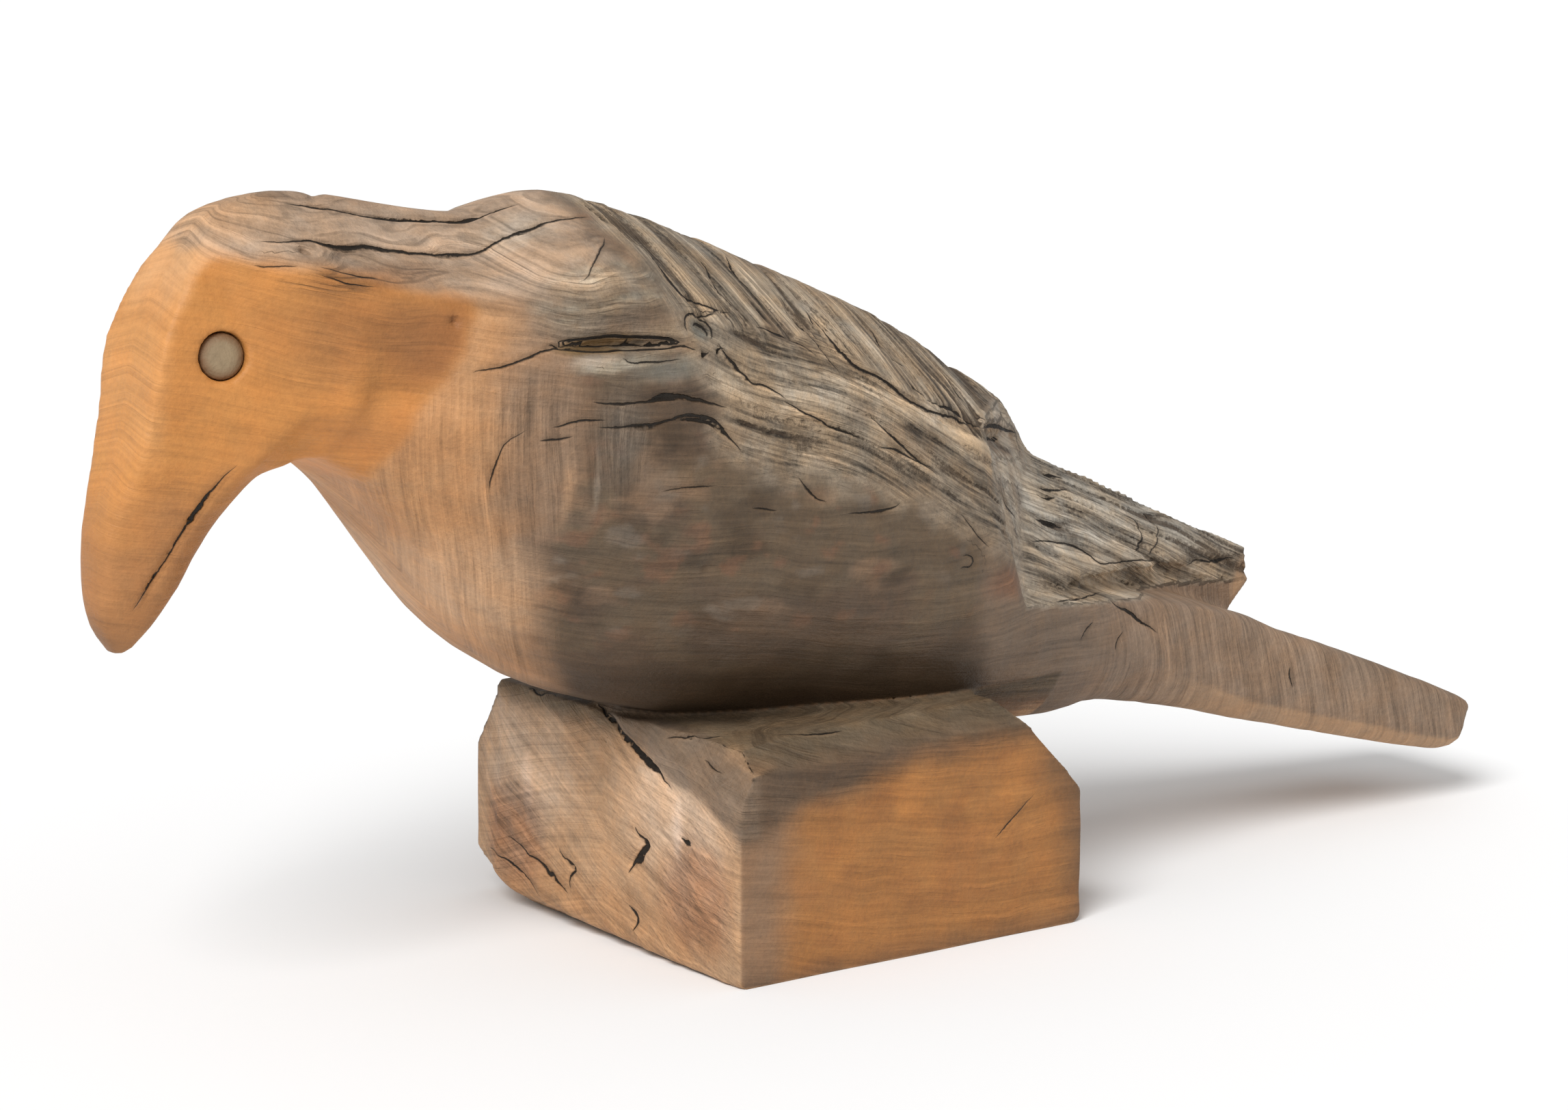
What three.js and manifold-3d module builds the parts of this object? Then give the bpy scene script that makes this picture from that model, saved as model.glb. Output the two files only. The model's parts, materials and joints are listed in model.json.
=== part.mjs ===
// A folk-carved bird with a long downturned bill, cut from one timber together with its hewn base block,
// with a round peg set into a drilled socket for each eye. Millimetres, +Z up.
// The head points along -X and the tail along +X. The origin is the middle of the block's underside.
import * as THREE from "three";
import { mergeVertices } from "three/addons/utils/BufferGeometryUtils.js";
import Module from "manifold-3d";

const wasm = await Module();
wasm.setup();

// Driving dimensions
const BLOCK_LENGTH = 99.6;
const BLOCK_WIDTH = 108;
const BLOCK_HEIGHT = 54;
const WING_END_X = 74.5; // where the two cut ends meet on the ridge
const WING_END_Z = 98.8;
const WING_END_SWEEP = 48; // degrees each cut end is swept forward, off square across
const WING_END_LEAN = 16; // degrees the cut ends lean back from upright
const EYE_SOCKET_RADIUS = 5.4;
const EYE_SOCKET_DEPTH = 4.2;
const EYE_PEG_RADIUS = 5;
const EYE_PEG_DOME = 1.5;
const EYE_PEG_RECESS = 1.4; // from the socket's edge in to the rim of the peg's dome
const FIT_GAP = 0.3;
const MOUTH_CUT_WIDTH = 1.1;
const MOUTH_CUT_DEPTH = 1;
const RINGS_PER_STATION = 3;
const POINTS_PER_CORNER = 4;

// Cross sections as a carver roughs them out, ten sided. Each lists the corners of one side from the keel
// up to the crest as [share of the half width, share of the height]; the other side mirrors it. Softness is
// how much of each edge the rounding of its corners takes.
const SECTION = {
  tip: { corners: [[0.5, 0], [1, 0.36], [1, 0.6], [0.8, 0.88], [0.45, 1]], softness: 1 },
  bill: { corners: [[0.5, 0], [1, 0.28], [1, 0.52], [0.88, 0.84], [0.58, 1]], softness: 0.85 },
  lore: { corners: [[0.6, 0], [1, 0.24], [0.94, 0.5], [0.82, 0.88], [0.7, 1]], softness: 0.5 },
  brow: { corners: [[0.55, 0], [1, 0.22], [0.87, 0.5], [0.7, 0.9], [0.66, 1]], softness: 0.3 },
  forehead: { corners: [[0.55, 0], [1, 0.22], [0.89, 0.5], [0.62, 0.95], [0.54, 1]], softness: 0.24 },
  hip: { corners: [[0.55, 0], [1, 0.22], [0.9, 0.5], [0.53, 0.965], [0.4, 1]], softness: 0.2 },
  poll: { corners: [[0.55, 0], [1, 0.22], [0.92, 0.5], [0.73, 0.865], [0.24, 1]], softness: 0.24 },
  crown: { corners: [[0.55, 0], [1, 0.22], [1, 0.5], [0.95, 0.77], [0.1, 1]], softness: 0.3 },
  nape: { corners: [[0.55, 0], [1, 0.24], [1, 0.48], [0.98, 0.69], [0.06, 1]], softness: 0.34 },
  neck: { corners: [[0.48, 0], [0.82, 0.2], [0.93, 0.45], [1, 0.7], [0.06, 1]], softness: 0.36 },
  collar: { corners: [[0.46, 0], [0.86, 0.22], [0.96, 0.46], [0.98, 0.72], [0.08, 1]], softness: 0.5 },
  shoulder: { corners: [[0.42, 0], [0.92, 0.28], [1, 0.54], [0.84, 0.82], [0.1, 1]], softness: 0.65 },
  breast: { corners: [[0.4, 0], [0.95, 0.3], [1, 0.54], [0.76, 0.84], [0.14, 1]], softness: 0.8 },
  belly: { corners: [[0.46, 0], [0.97, 0.28], [1, 0.52], [0.72, 0.82], [0.14, 1]], softness: 0.8 },
  seat: { corners: [[0.6, 0], [0.98, 0.22], [1, 0.48], [0.7, 0.8], [0.12, 1]], softness: 0.75 },
  rump: { corners: [[0.62, 0], [1, 0.22], [1, 0.5], [0.72, 0.78], [0.16, 1]], softness: 0.7 },
  root: { corners: [[0.7, 0], [1, 0.22], [1, 0.62], [0.97, 0.88], [0.7, 1]], softness: 0.5 },
  tail: { corners: [[0.8, 0], [1, 0.22], [1, 0.62], [0.98, 0.9], [0.88, 1]], softness: 0.5 },
};

// Lines of the bird from bill tip to tail: over is the outer contour (crown, back), under is the inner one
// (throat, belly), each as [x, z] on the middle plane, and half is half the width.
const BIRD = [
  { form: "tip", over: [-178.0, 84.6], under: [-173.6, 86.0], half: 2.8 },
  { form: "bill", over: [-182.0, 91.0], under: [-169.2, 90.0], half: 5.2 },
  { form: "bill", over: [-183.4, 101], under: [-162.4, 98.0], half: 7.2 },
  { form: "bill", over: [-182.0, 113], under: [-155.8, 108], half: 9.2 },
  { form: "lore", over: [-176.8, 126], under: [-149.0, 117.4], half: 13 },
  { form: "brow", over: [-173.6, 138], under: [-145.9, 120.6], half: 16.4 },
  { form: "brow", over: [-171.0, 151.4], under: [-142.2, 121.6], half: 17.8 },
  { form: "forehead", over: [-164.3, 163.7], under: [-139.8, 122.2], half: 18.8 },
  { form: "hip", over: [-159.4, 169.9], under: [-138.6, 122.8], half: 19.4 },
  { form: "poll", over: [-153.6, 177.0], under: [-137.2, 123.2], half: 20.4 },
  { form: "crown", over: [-140.4, 180.3], under: [-135.5, 123.4], half: 22.4 },
  { form: "nape", over: [-126.6, 179.4], under: [-133.5, 123.4], half: 25.8 },
  { form: "neck", over: [-111.5, 176], under: [-131.5, 122.8], half: 29.2 },
  { form: "neck", over: [-96.5, 172.6], under: [-129.0, 121.4], half: 32.2 },
  { form: "collar", over: [-86.4, 171.4], under: [-124.8, 118.2], half: 36 },
  { form: "shoulder", over: [-76.0, 173.2], under: [-117.8, 111.4], half: 41 },
  { form: "shoulder", over: [-65.0, 173.8], under: [-108.4, 99.6], half: 45 },
  { form: "breast", over: [-50.0, 169.7], under: [-94.2, 80.6], half: 48 },
  { form: "breast", over: [-32.0, 163], under: [-75, 65.6], half: 49.4 },
  { form: "belly", over: [-12.4, 154.6], under: [-47, 55.4], half: 49.2 },
  { form: "belly", over: [7.0, 146], under: [-15, 49], half: 48.2 },
  { form: "seat", over: [28.0, 136.4], under: [18, 45], half: 45.6 },
  { form: "seat", over: [46.0, 125.0], under: [42, 41.2], half: 41.4 },
  { form: "rump", over: [60.5, 115.3], under: [62, 39.4], half: 36.6 },
  { form: "rump", over: [75.0, 98.9], under: [82, 40.2], half: 31 },
  { form: "root", over: [100.0, 76], under: [104, 36], half: 26 },
  { form: "tail", over: [127.0, 56.1], under: [127, 29.6], half: 23.4 },
  { form: "tail", over: [160.0, 42.4], under: [158, 21.1], half: 22 },
  { form: "tail", over: [197.5, 26.6], under: [191.6, 12.8], half: 21 },
  { form: "tail", over: [200.4, 23.4], under: [197, 15.2], half: 19.6 },
];
const WINGED_TO = 24; // the last station of the winged body, cut off behind the wings
const RUMP_FROM = 19; // the first station of the rump and tail, under the wings

// The upper side of the rump under the wing tips.
const RUMP_TOP = { x: 41, z: 80, fall: 0.25, camber: 5, soften: 2.2, inset: 0.014 };

// The folded wing tips: a pointed roof over the root of the tail.
const WING_TIPS = [
  { x: 40, ridge: 114, eave: 76, half: 38 },
  { x: 74, ridge: 98.6, eave: 72.6, half: 24.5 },
  { x: 108, ridge: 83, eave: 69.4, half: 12 },
  { x: 141.6, ridge: 67.4, eave: 64.4, half: 3 },
];
const WING_TIP_EDGE = 2.6; // thickness of the roof at its lower edges
const WING_TIP_CORE_INSET = 3;
const WING_TIP_CORE_DROP = 13;

const EYE_CENTRE = new THREE.Vector3(-157.6, -14.0, 148.6); // the near eye; its twin mirrors it
const EYE_AXIS = new THREE.Vector3(-0.24, -0.963, 0.11).normalize();

// Catmull-Rom value of a list of numbers at a fractional place in it.
function along(values, place) {
  const last = values.length - 1;
  const i = Math.min(Math.floor(place), last - 1);
  const t = place - i;
  const at = (k) => values[Math.max(0, Math.min(last, k))];
  const [a, b, c, d] = [at(i - 1), at(i), at(i + 1), at(i + 2)];
  const curve = 2 * b + (c - a) * t + (2 * a - 5 * b + 4 * c - d) * t * t + (3 * b - a - 3 * c + d) * t * t * t;
  return curve / 2;
}

// A section's rounded outline as [side, height] pairs, side in half widths and height from keel 0 to crest 1.
function sectionOutline(right, softness) {
  const corners = [...right, ...right.map(([y, t]) => [-y, t]).reverse()];
  const outline = [];
  corners.forEach((corner, i) => {
    const before = corners[(i + corners.length - 1) % corners.length];
    const after = corners[(i + 1) % corners.length];
    const towards = (other) => corner.map((v, k) => v + ((other[k] - v) * softness) / 2);
    const [start, end] = [towards(before), towards(after)];
    for (let j = 0; j < POINTS_PER_CORNER; j++) {
      const t = j / (POINTS_PER_CORNER - 1);
      const mix = (k) => (1 - t) ** 2 * start[k] + 2 * t * (1 - t) * corner[k] + t * t * end[k];
      outline.push([mix(0), mix(1)]);
    }
  });
  return outline;
}

// The bird's shape at a fractional place along its stations: its contour points, half width and outline.
function shapeAt(place) {
  const value = (read) => along(BIRD.map(read), place);
  const forms = BIRD.map((station) => SECTION[station.form]);
  const corners = forms[0].corners.map((_, i) => [0, 1].map((k) => along(forms.map((f) => f.corners[i][k]), place)));
  const softness = Math.min(along(forms.map((f) => f.softness), place), 0.94);
  return {
    over: [value((s) => s.over[0]), value((s) => s.over[1])],
    under: [value((s) => s.under[0]), value((s) => s.under[1])],
    half: value((s) => s.half),
    outline: sectionOutline(corners, softness),
  };
}

// The ring of points of a shape.
function ringOf({ over, under, half, outline }) {
  return outline.map(
    ([side, t]) => new THREE.Vector3(under[0] + (over[0] - under[0]) * t, side * half, under[1] + (over[1] - under[1]) * t),
  );
}

// A closed mesh through equal rings, with a fan over each end.
function loft(rings) {
  const n = rings[0].length;
  const points = rings.flat();
  const index = [];
  for (let i = 0; i + 1 < rings.length; i++) {
    for (let j = 0; j < n; j++) {
      const [a, b] = [i * n + j, i * n + ((j + 1) % n)];
      index.push(a, a + n, b, b, a + n, b + n);
    }
  }
  for (const [ring, first, turned] of [[rings[0], 0, false], [rings.at(-1), (rings.length - 1) * n, true]]) {
    const centre = ring.reduce((sum, p) => sum.add(p), new THREE.Vector3()).divideScalar(n);
    points.push(centre);
    for (let j = 0; j < n; j++) {
      const [a, b] = [first + j, first + ((j + 1) % n)];
      index.push(...(turned ? [points.length - 1, b, a] : [points.length - 1, a, b]));
    }
  }
  const geometry = new THREE.BufferGeometry().setFromPoints(points);
  geometry.setIndex(index);
  return geometry;
}

// A closed three.js mesh as a manifold-3d solid, whichever way round it was wound.
function solid(geometry) {
  const bare = geometry.clone();
  bare.deleteAttribute("normal");
  bare.deleteAttribute("uv");
  const merged = mergeVertices(bare, 1e-4);
  const vertProperties = new Float32Array(merged.attributes.position.array);
  const triVerts = new Uint32Array(merged.index.array);
  const made = new wasm.Manifold(new wasm.Mesh({ numProp: 3, vertProperties, triVerts }));
  if (made.volume() > 0) return made;
  for (let i = 0; i < triVerts.length; i += 3) [triVerts[i + 1], triVerts[i + 2]] = [triVerts[i + 2], triVerts[i + 1]];
  return new wasm.Manifold(new wasm.Mesh({ numProp: 3, vertProperties, triVerts }));
}

// The manifold-3d solid back as a three.js geometry.
function geometryOf(made) {
  const { numProp, numVert, vertProperties, triVerts } = made.getMesh();
  const position = new Float32Array(numVert * 3);
  for (let i = 0; i < numVert; i++) position.set(vertProperties.subarray(i * numProp, i * numProp + 3), i * 3);
  const geometry = new THREE.BufferGeometry();
  geometry.setAttribute("position", new THREE.BufferAttribute(position, 3));
  geometry.setIndex(new THREE.BufferAttribute(new Uint32Array(triVerts), 1));
  geometry.computeVertexNormals();
  return geometry;
}

// A large box whose one face passes through a point with a given outward normal: what it covers is cut away.
function sawCut(point, normal) {
  const size = 400;
  const geometry = new THREE.BoxGeometry(size, size, size);
  const way = new THREE.Vector3(...normal).normalize();
  const turn = new THREE.Quaternion().setFromUnitVectors(new THREE.Vector3(0, 0, 1), way);
  const centre = new THREE.Vector3(...point).addScaledVector(way, size / 2);
  geometry.applyMatrix4(new THREE.Matrix4().compose(centre, turn, new THREE.Vector3(1, 1, 1)));
  return solid(geometry);
}

// The run of rings between two of the bird's stations.
function ringsBetween(first, last, each = (p) => p) {
  const rings = [];
  const count = (last - first) * RINGS_PER_STATION;
  for (let i = 0; i <= count; i++) rings.push(ringOf(shapeAt(first + i / RINGS_PER_STATION)).map(each));
  return rings;
}

// Bill, head, neck and body with the folded wings, whose rear ends are sawn off on a chevron.
function wingedBody() {
  const body = solid(loft(ringsBetween(0, WINGED_TO)));
  const [sweep, lean] = [WING_END_SWEEP, WING_END_LEAN].map(THREE.MathUtils.degToRad);
  const way = (side) => [Math.cos(sweep) * Math.cos(lean), side * Math.sin(sweep) * Math.cos(lean), Math.sin(lean)];
  const cuts = [-1, 1].map((side) => sawCut([WING_END_X, 0, WING_END_Z], way(side)));
  return body.subtract(cuts[0]).subtract(cuts[1]);
}

// Rump and tail, pressed down under the wing tips to a gently cambered top.
function rumpAndTail() {
  const { x, z, fall, camber, soften, inset } = RUMP_TOP;
  const press = (p) => {
    const top = z - fall * (p.x - x) - camber * (p.y / 40) ** 2;
    const over = (p.z - top) / soften;
    p.z -= soften * (over > 30 ? over : Math.log1p(Math.exp(over)));
    p.y *= 1 - inset * THREE.MathUtils.clamp((60 - p.x) / 20, 0, 1);
    return p;
  };
  return solid(loft(ringsBetween(RUMP_FROM, BIRD.length - 1, (p) => (p.x < 122 ? press(p) : p))));
}

// The pointed roof of the wing tips, and the recessed wood that carries it over the tail.
function wingTips() {
  const roof = WING_TIPS.map(({ x, ridge, eave, half }) => [
    new THREE.Vector3(x, -half, eave),
    new THREE.Vector3(x, -half, eave + WING_TIP_EDGE),
    new THREE.Vector3(x + 1, -half * 0.5, eave + WING_TIP_EDGE + (ridge - eave - WING_TIP_EDGE) * 0.6),
    new THREE.Vector3(x + 2, 0, ridge),
    new THREE.Vector3(x + 1, half * 0.5, eave + WING_TIP_EDGE + (ridge - eave - WING_TIP_EDGE) * 0.6),
    new THREE.Vector3(x, half, eave + WING_TIP_EDGE),
    new THREE.Vector3(x, half, eave),
  ]);
  const core = WING_TIPS.map(({ x, eave, half }, i) => {
    const inner = Math.max(half - WING_TIP_CORE_INSET, 3.4);
    const last = i === WING_TIPS.length - 1;
    return [
      new THREE.Vector3(x + (last ? -8 : 0), -inner, eave - WING_TIP_CORE_DROP),
      new THREE.Vector3(x + (last ? 0.8 : 0), -inner, eave - 4),
      new THREE.Vector3(x, -inner, eave + 1),
      new THREE.Vector3(x, inner, eave + 1),
      new THREE.Vector3(x + (last ? 0.8 : 0), inner, eave - 4),
      new THREE.Vector3(x + (last ? -8 : 0), inner, eave - WING_TIP_CORE_DROP),
    ];
  });
  return solid(loft(roof)).add(solid(loft(core)));
}

// The hewn base block: a sawn slab with its arrises cut and worn.
function baseBlock() {
  const [front, rear] = [-BLOCK_LENGTH / 2, BLOCK_LENGTH / 2];
  const [near, far] = [2 - BLOCK_WIDTH / 2, 2 + BLOCK_WIDTH / 2];
  const geometry = new THREE.BoxGeometry(BLOCK_LENGTH, BLOCK_WIDTH, BLOCK_HEIGHT);
  geometry.translate(0, 2, BLOCK_HEIGHT / 2);
  let block = solid(geometry);
  const cuts = [
    [[front - 0.4, 40, 20], [-1, 0.3, 0.02]],
    [[rear - 3.2, 0, 33.6], [0.74, 0, 0.68]],
    [[rear, near + 2.5, 20], [0.8, -0.6, 0]],
    [[rear, far - 12, 20], [0.7, 0.7, 0]],
    [[0, far, BLOCK_HEIGHT - 18], [0, 0.75, 0.66]],
    [[0, near, BLOCK_HEIGHT - 5.5], [0, -0.6, 0.8]],
    [[front, near, 40], [-0.9, -0.13, 0.42]],
    [[front, -40, 1.2], [-0.5, 0.04, -0.86]],
    [[front, 33, 3.2], [-0.5, 0.36, -0.79]],
    [[rear - 3, near, 0], [0.6, -0.3, -0.74]],
  ];
  for (const [point, normal] of cuts) block = block.subtract(sawCut(point, normal));
  return block;
}

// A round tool lying along the eye's axis on one side.
function alongEyeAxis(geometry, side) {
  const mirrored = new THREE.Vector3(1, -side, 1);
  const axis = EYE_AXIS.clone().multiply(mirrored);
  const turn = new THREE.Quaternion().setFromUnitVectors(new THREE.Vector3(0, 1, 0), axis);
  return geometry.applyMatrix4(
    new THREE.Matrix4().compose(EYE_CENTRE.clone().multiply(mirrored), turn, new THREE.Vector3(1, 1, 1)),
  );
}

// The drilled eye socket on one side.
function eyeSocket(side) {
  const reach = 12;
  const drill = new THREE.CylinderGeometry(EYE_SOCKET_RADIUS, EYE_SOCKET_RADIUS, EYE_SOCKET_DEPTH + reach, 28);
  drill.translate(0, (reach - EYE_SOCKET_DEPTH) / 2, 0);
  return solid(alongEyeAxis(drill, side));
}

// The domed peg that sits in an eye socket.
function eyePeg(side) {
  const floor = FIT_GAP - EYE_SOCKET_DEPTH;
  const profile = [new THREE.Vector2(0, floor), new THREE.Vector2(EYE_PEG_RADIUS, floor)];
  const steps = 6;
  for (let i = 0; i <= steps; i++) {
    const a = (i / steps) * (Math.PI / 2);
    profile.push(new THREE.Vector2(EYE_PEG_RADIUS * Math.cos(a), EYE_PEG_DOME * Math.sin(a) - EYE_PEG_RECESS));
  }
  profile[profile.length - 1].x = 0;
  return solid(alongEyeAxis(new THREE.LatheGeometry(profile, 28), side));
}

// The V cut of the mouth on one side: a thin wedge swept just inside the bill's flank.
function mouthCut(side) {
  const places = [
    { x: -155.8, y: 13.8, z: 121.4 },
    { x: -164.0, y: 9.6, z: 113.4 },
    { x: -170.4, y: 6.9, z: 103.6 },
    { x: -175.2, y: 5.9, z: 94.4 },
  ];
  const rings = [];
  const count = 12;
  for (let i = 0; i <= count; i++) {
    const place = (i / count) * (places.length - 1);
    const read = (key) => along(places.map((p) => p[key]), place);
    const fade = Math.min(1, 4 * Math.min(i / count, 1 - i / count) + 0.3);
    const middle = new THREE.Vector3(read("x"), read("y"), read("z"));
    const across = new THREE.Vector3(0.78, 0, -0.62).multiplyScalar((MOUTH_CUT_WIDTH / 2) * fade);
    const out = new THREE.Vector3(0, 1, 0);
    rings.push([
      middle.clone().addScaledVector(out, -MOUTH_CUT_DEPTH * fade),
      middle.clone().add(across.clone().multiplyScalar(3)).addScaledVector(out, 2.2),
      middle.clone().sub(across.clone().multiplyScalar(3)).addScaledVector(out, 2.2),
    ]);
  }
  if (side < 0) for (const ring of rings) for (const p of ring) p.y = -p.y;
  return solid(loft(rings));
}

const weatheredWood = new THREE.MeshStandardMaterial({ color: "#8a6a4d", roughness: 0.85, metalness: 0 });
const greyPeg = new THREE.MeshStandardMaterial({ color: "#7d6f5e", roughness: 0.6, metalness: 0 });

function carving() {
  let body = wingedBody().add(rumpAndTail()).add(wingTips()).add(baseBlock());
  for (const side of [-1, 1]) body = body.subtract(eyeSocket(side)).subtract(mouthCut(side));
  const mesh = new THREE.Mesh(geometryOf(body), weatheredWood);
  mesh.name = "carved_bird_on_block";
  return mesh;
}

function eye(side, name) {
  const mesh = new THREE.Mesh(geometryOf(eyePeg(side)), greyPeg);
  mesh.name = name;
  return mesh;
}

const bird = new THREE.Group();
bird.add(carving(), eye(-1, "eye_peg_left"), eye(1, "eye_peg_right"));
export default bird;
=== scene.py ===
"""Looks of a folk-carved wooden bird with a long downturned bill, standing on its own hewn block.

The carved solid keeps its form and gains the relief of old, weathered timber: drying cracks, raised
grain, hollows, a knot, chipped corners and worm holes. Lengths in the tables are millimetres in the
part's own frame: the head points along -X, the tail along +X, and the side seen most is -Y.
"""

import json
import logging
import math
from dataclasses import dataclass, field
from enum import Enum
from typing import Any, Callable, Dict, List, Sequence, Tuple

import bpy
import numpy as np
from mathutils import Matrix, Vector

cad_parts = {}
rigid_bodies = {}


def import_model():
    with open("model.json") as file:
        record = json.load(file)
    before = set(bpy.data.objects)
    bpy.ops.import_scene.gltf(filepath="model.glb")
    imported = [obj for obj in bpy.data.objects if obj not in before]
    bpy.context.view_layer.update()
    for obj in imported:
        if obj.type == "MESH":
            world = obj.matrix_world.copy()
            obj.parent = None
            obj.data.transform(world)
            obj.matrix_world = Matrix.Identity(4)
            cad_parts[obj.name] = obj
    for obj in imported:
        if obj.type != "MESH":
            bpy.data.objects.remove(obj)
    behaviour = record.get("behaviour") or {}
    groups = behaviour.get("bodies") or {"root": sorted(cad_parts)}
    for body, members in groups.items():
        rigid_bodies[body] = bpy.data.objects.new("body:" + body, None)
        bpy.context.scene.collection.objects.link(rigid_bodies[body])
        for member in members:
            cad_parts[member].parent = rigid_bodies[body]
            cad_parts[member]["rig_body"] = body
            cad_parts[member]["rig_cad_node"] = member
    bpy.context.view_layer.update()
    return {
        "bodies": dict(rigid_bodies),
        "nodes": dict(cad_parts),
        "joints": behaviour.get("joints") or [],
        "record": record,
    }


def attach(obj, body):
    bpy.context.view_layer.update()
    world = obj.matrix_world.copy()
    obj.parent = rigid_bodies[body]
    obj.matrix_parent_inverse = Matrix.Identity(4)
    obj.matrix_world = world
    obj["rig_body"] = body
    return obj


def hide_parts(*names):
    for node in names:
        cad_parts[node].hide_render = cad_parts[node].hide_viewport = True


LOG = logging.getLogger("carved_bird")
MM = 0.001
Point = Tuple[float, float, float]
Colour = Tuple[float, float, float]


# Numbers over the surface


def ramp(value: np.ndarray, start: float, end: float) -> np.ndarray:
    """Smooth step from 0 at start to 1 at end, which may run downwards.

    Args:
        value: numbers to place on the step.
        start: where the step leaves 0.
        end: where it reaches 1.

    Returns:
        The step's height at each number.
    """
    t = np.clip((value - start) / (end - start), 0.0, 1.0)
    return t * t * (3.0 - 2.0 * t)


def cell_random(cell: np.ndarray, seed: int) -> np.ndarray:
    """A repeatable random number from 0 to 1 for each cell, three whole numbers each."""
    mixed = cell[:, 0] * 73856093 ^ cell[:, 1] * 19349663 ^ cell[:, 2] * 83492791 ^ seed * 7919
    mixed = (mixed ^ mixed >> 13) * 1274126177 & 0x7FFFFFFF
    return ((mixed ^ mixed >> 15) & 0xFFFF) / 65535.0


def lattice_noise(points: np.ndarray, seed: int) -> np.ndarray:
    """Smooth noise between -1 and 1, one cell to a unit.

    Args:
        points: places, three numbers each.
        seed: which of the repeatable patterns to take.

    Returns:
        One number for each place.
    """
    base = np.floor(points).astype(np.int64)
    t = points - base
    t = t * t * (3.0 - 2.0 * t)
    total = np.zeros(len(points))
    for corner in range(8):
        bits = np.array([corner & 1, corner >> 1 & 1, corner >> 2 & 1])
        share = np.prod(np.where(bits, t, 1.0 - t), axis=1)
        total += share * (2.0 * cell_random(base + bits, seed) - 1.0)
    return total


def splinters(across: np.ndarray, along: np.ndarray, pitch: float, length: float, seed: int) -> Tuple[
    np.ndarray, np.ndarray
]:
    """Long pointed cells that lie along the fibres, as wood splits.

    Args:
        across: distance over the fibres, in millimetres.
        along: distance with the fibres.
        pitch: mean width of a cell.
        length: mean length of a cell.
        seed: which of the repeatable patterns to take.

    Returns:
        A random number from -1 to 1 for each point's cell, and the point's distance from the cell's edge.
    """
    u, v = across / pitch, along / length
    base = np.stack([np.floor(u), np.floor(v), 0 * u], 1).astype(np.int64)
    nearest, second, number = np.full(len(u), 99.0), np.full(len(u), 99.0), np.zeros(len(u))
    for du in (-1, 0, 1):
        for dv in (-1, 0, 1):
            cell = base + np.array([du, dv, 0])
            middle_u = cell[:, 0] + 0.05 + 0.9 * cell_random(cell, seed)
            middle_v = cell[:, 1] + 0.05 + 0.9 * cell_random(cell, seed + 1)
            off = np.hypot(middle_u - u, middle_v - v)
            closer = off < nearest
            second = np.where(closer, nearest, np.minimum(second, off))
            number = np.where(closer, 2.0 * cell_random(cell, seed + 2) - 1.0, number)
            nearest = np.where(closer, off, nearest)
    return number, 0.5 * pitch * (second - nearest)


def cloud(points: np.ndarray, size: float, seed: int, layers: int = 2) -> np.ndarray:
    """Layered noise whose largest lumps are size millimetres across."""
    total = np.zeros(len(points))
    for layer in range(layers):
        total += lattice_noise(points / size * 2.0**layer + 11.3 * layer, seed + layer) * 0.5**layer
    return total / (2.0 - 0.5 ** (layers - 1))


def smooth_path(points: Sequence[Point], step: float) -> np.ndarray:
    """A curve through the points, cut into pieces of about one step.

    Args:
        points: places that the curve passes.
        step: length of a piece in millimetres.

    Returns:
        The curve's points, one row each.
    """
    p = np.array(points, float)
    if len(p) == 2:
        count = max(2, int(np.linalg.norm(p[1] - p[0]) / step) + 1)
        return p[0] + (p[1] - p[0]) * np.linspace(0, 1, count)[:, None]
    ends = np.vstack([2 * p[0] - p[1], p, 2 * p[-1] - p[-2]])
    rows = []
    for i in range(len(p) - 1):
        a, b, c, d = ends[i : i + 4]
        count = max(1, int(round(np.linalg.norm(c - b) / step)))
        for t in np.arange(count) / count:
            rows.append(
                0.5
                * (2 * b + (c - a) * t + (2 * a - 5 * b + 4 * c - d) * t**2 + (3 * b - a - 3 * c + d) * t**3)
            )
    rows.append(p[-1])
    return np.array(rows)


def ring(middle: Point, radius: float, start: float, end: float) -> Tuple[Point, ...]:
    """Places round a knot on the shoulder, from one clock angle to another in degrees."""
    rows = []
    for i in range(9):
        turn = math.radians(start + (end - start) * i / 8)
        u, v = radius * math.cos(turn), radius * math.sin(turn)
        rows.append((middle[0] + 0.99 * u - 0.07 * v, middle[1] + 0.15 * u + 0.45 * v, middle[2] + 0.89 * v))
    return tuple(rows)


# What is cut into the wood


@dataclass(frozen=True)
class Split:
    """A drying crack, groove or step that runs over the surface; the finish fills its open middle with painted shade,
    near black.

    Attributes:
        name: what it is on the carving.
        channel: which of the three line patterns carries it; close neighbours differ.
        half: half its width.
        depth: how deep the wood opens.
        path: places it passes.
        drop: how far the wood on its lower side lies below the upper side.
        both: whether the far side of the carving has a like one.
        wild: how far it strays from its path.
    """

    name: str
    channel: int
    half: float
    depth: float
    path: Tuple[Point, ...]
    drop: float = 0.0
    both: bool = False
    wild: float = 0.22


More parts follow.
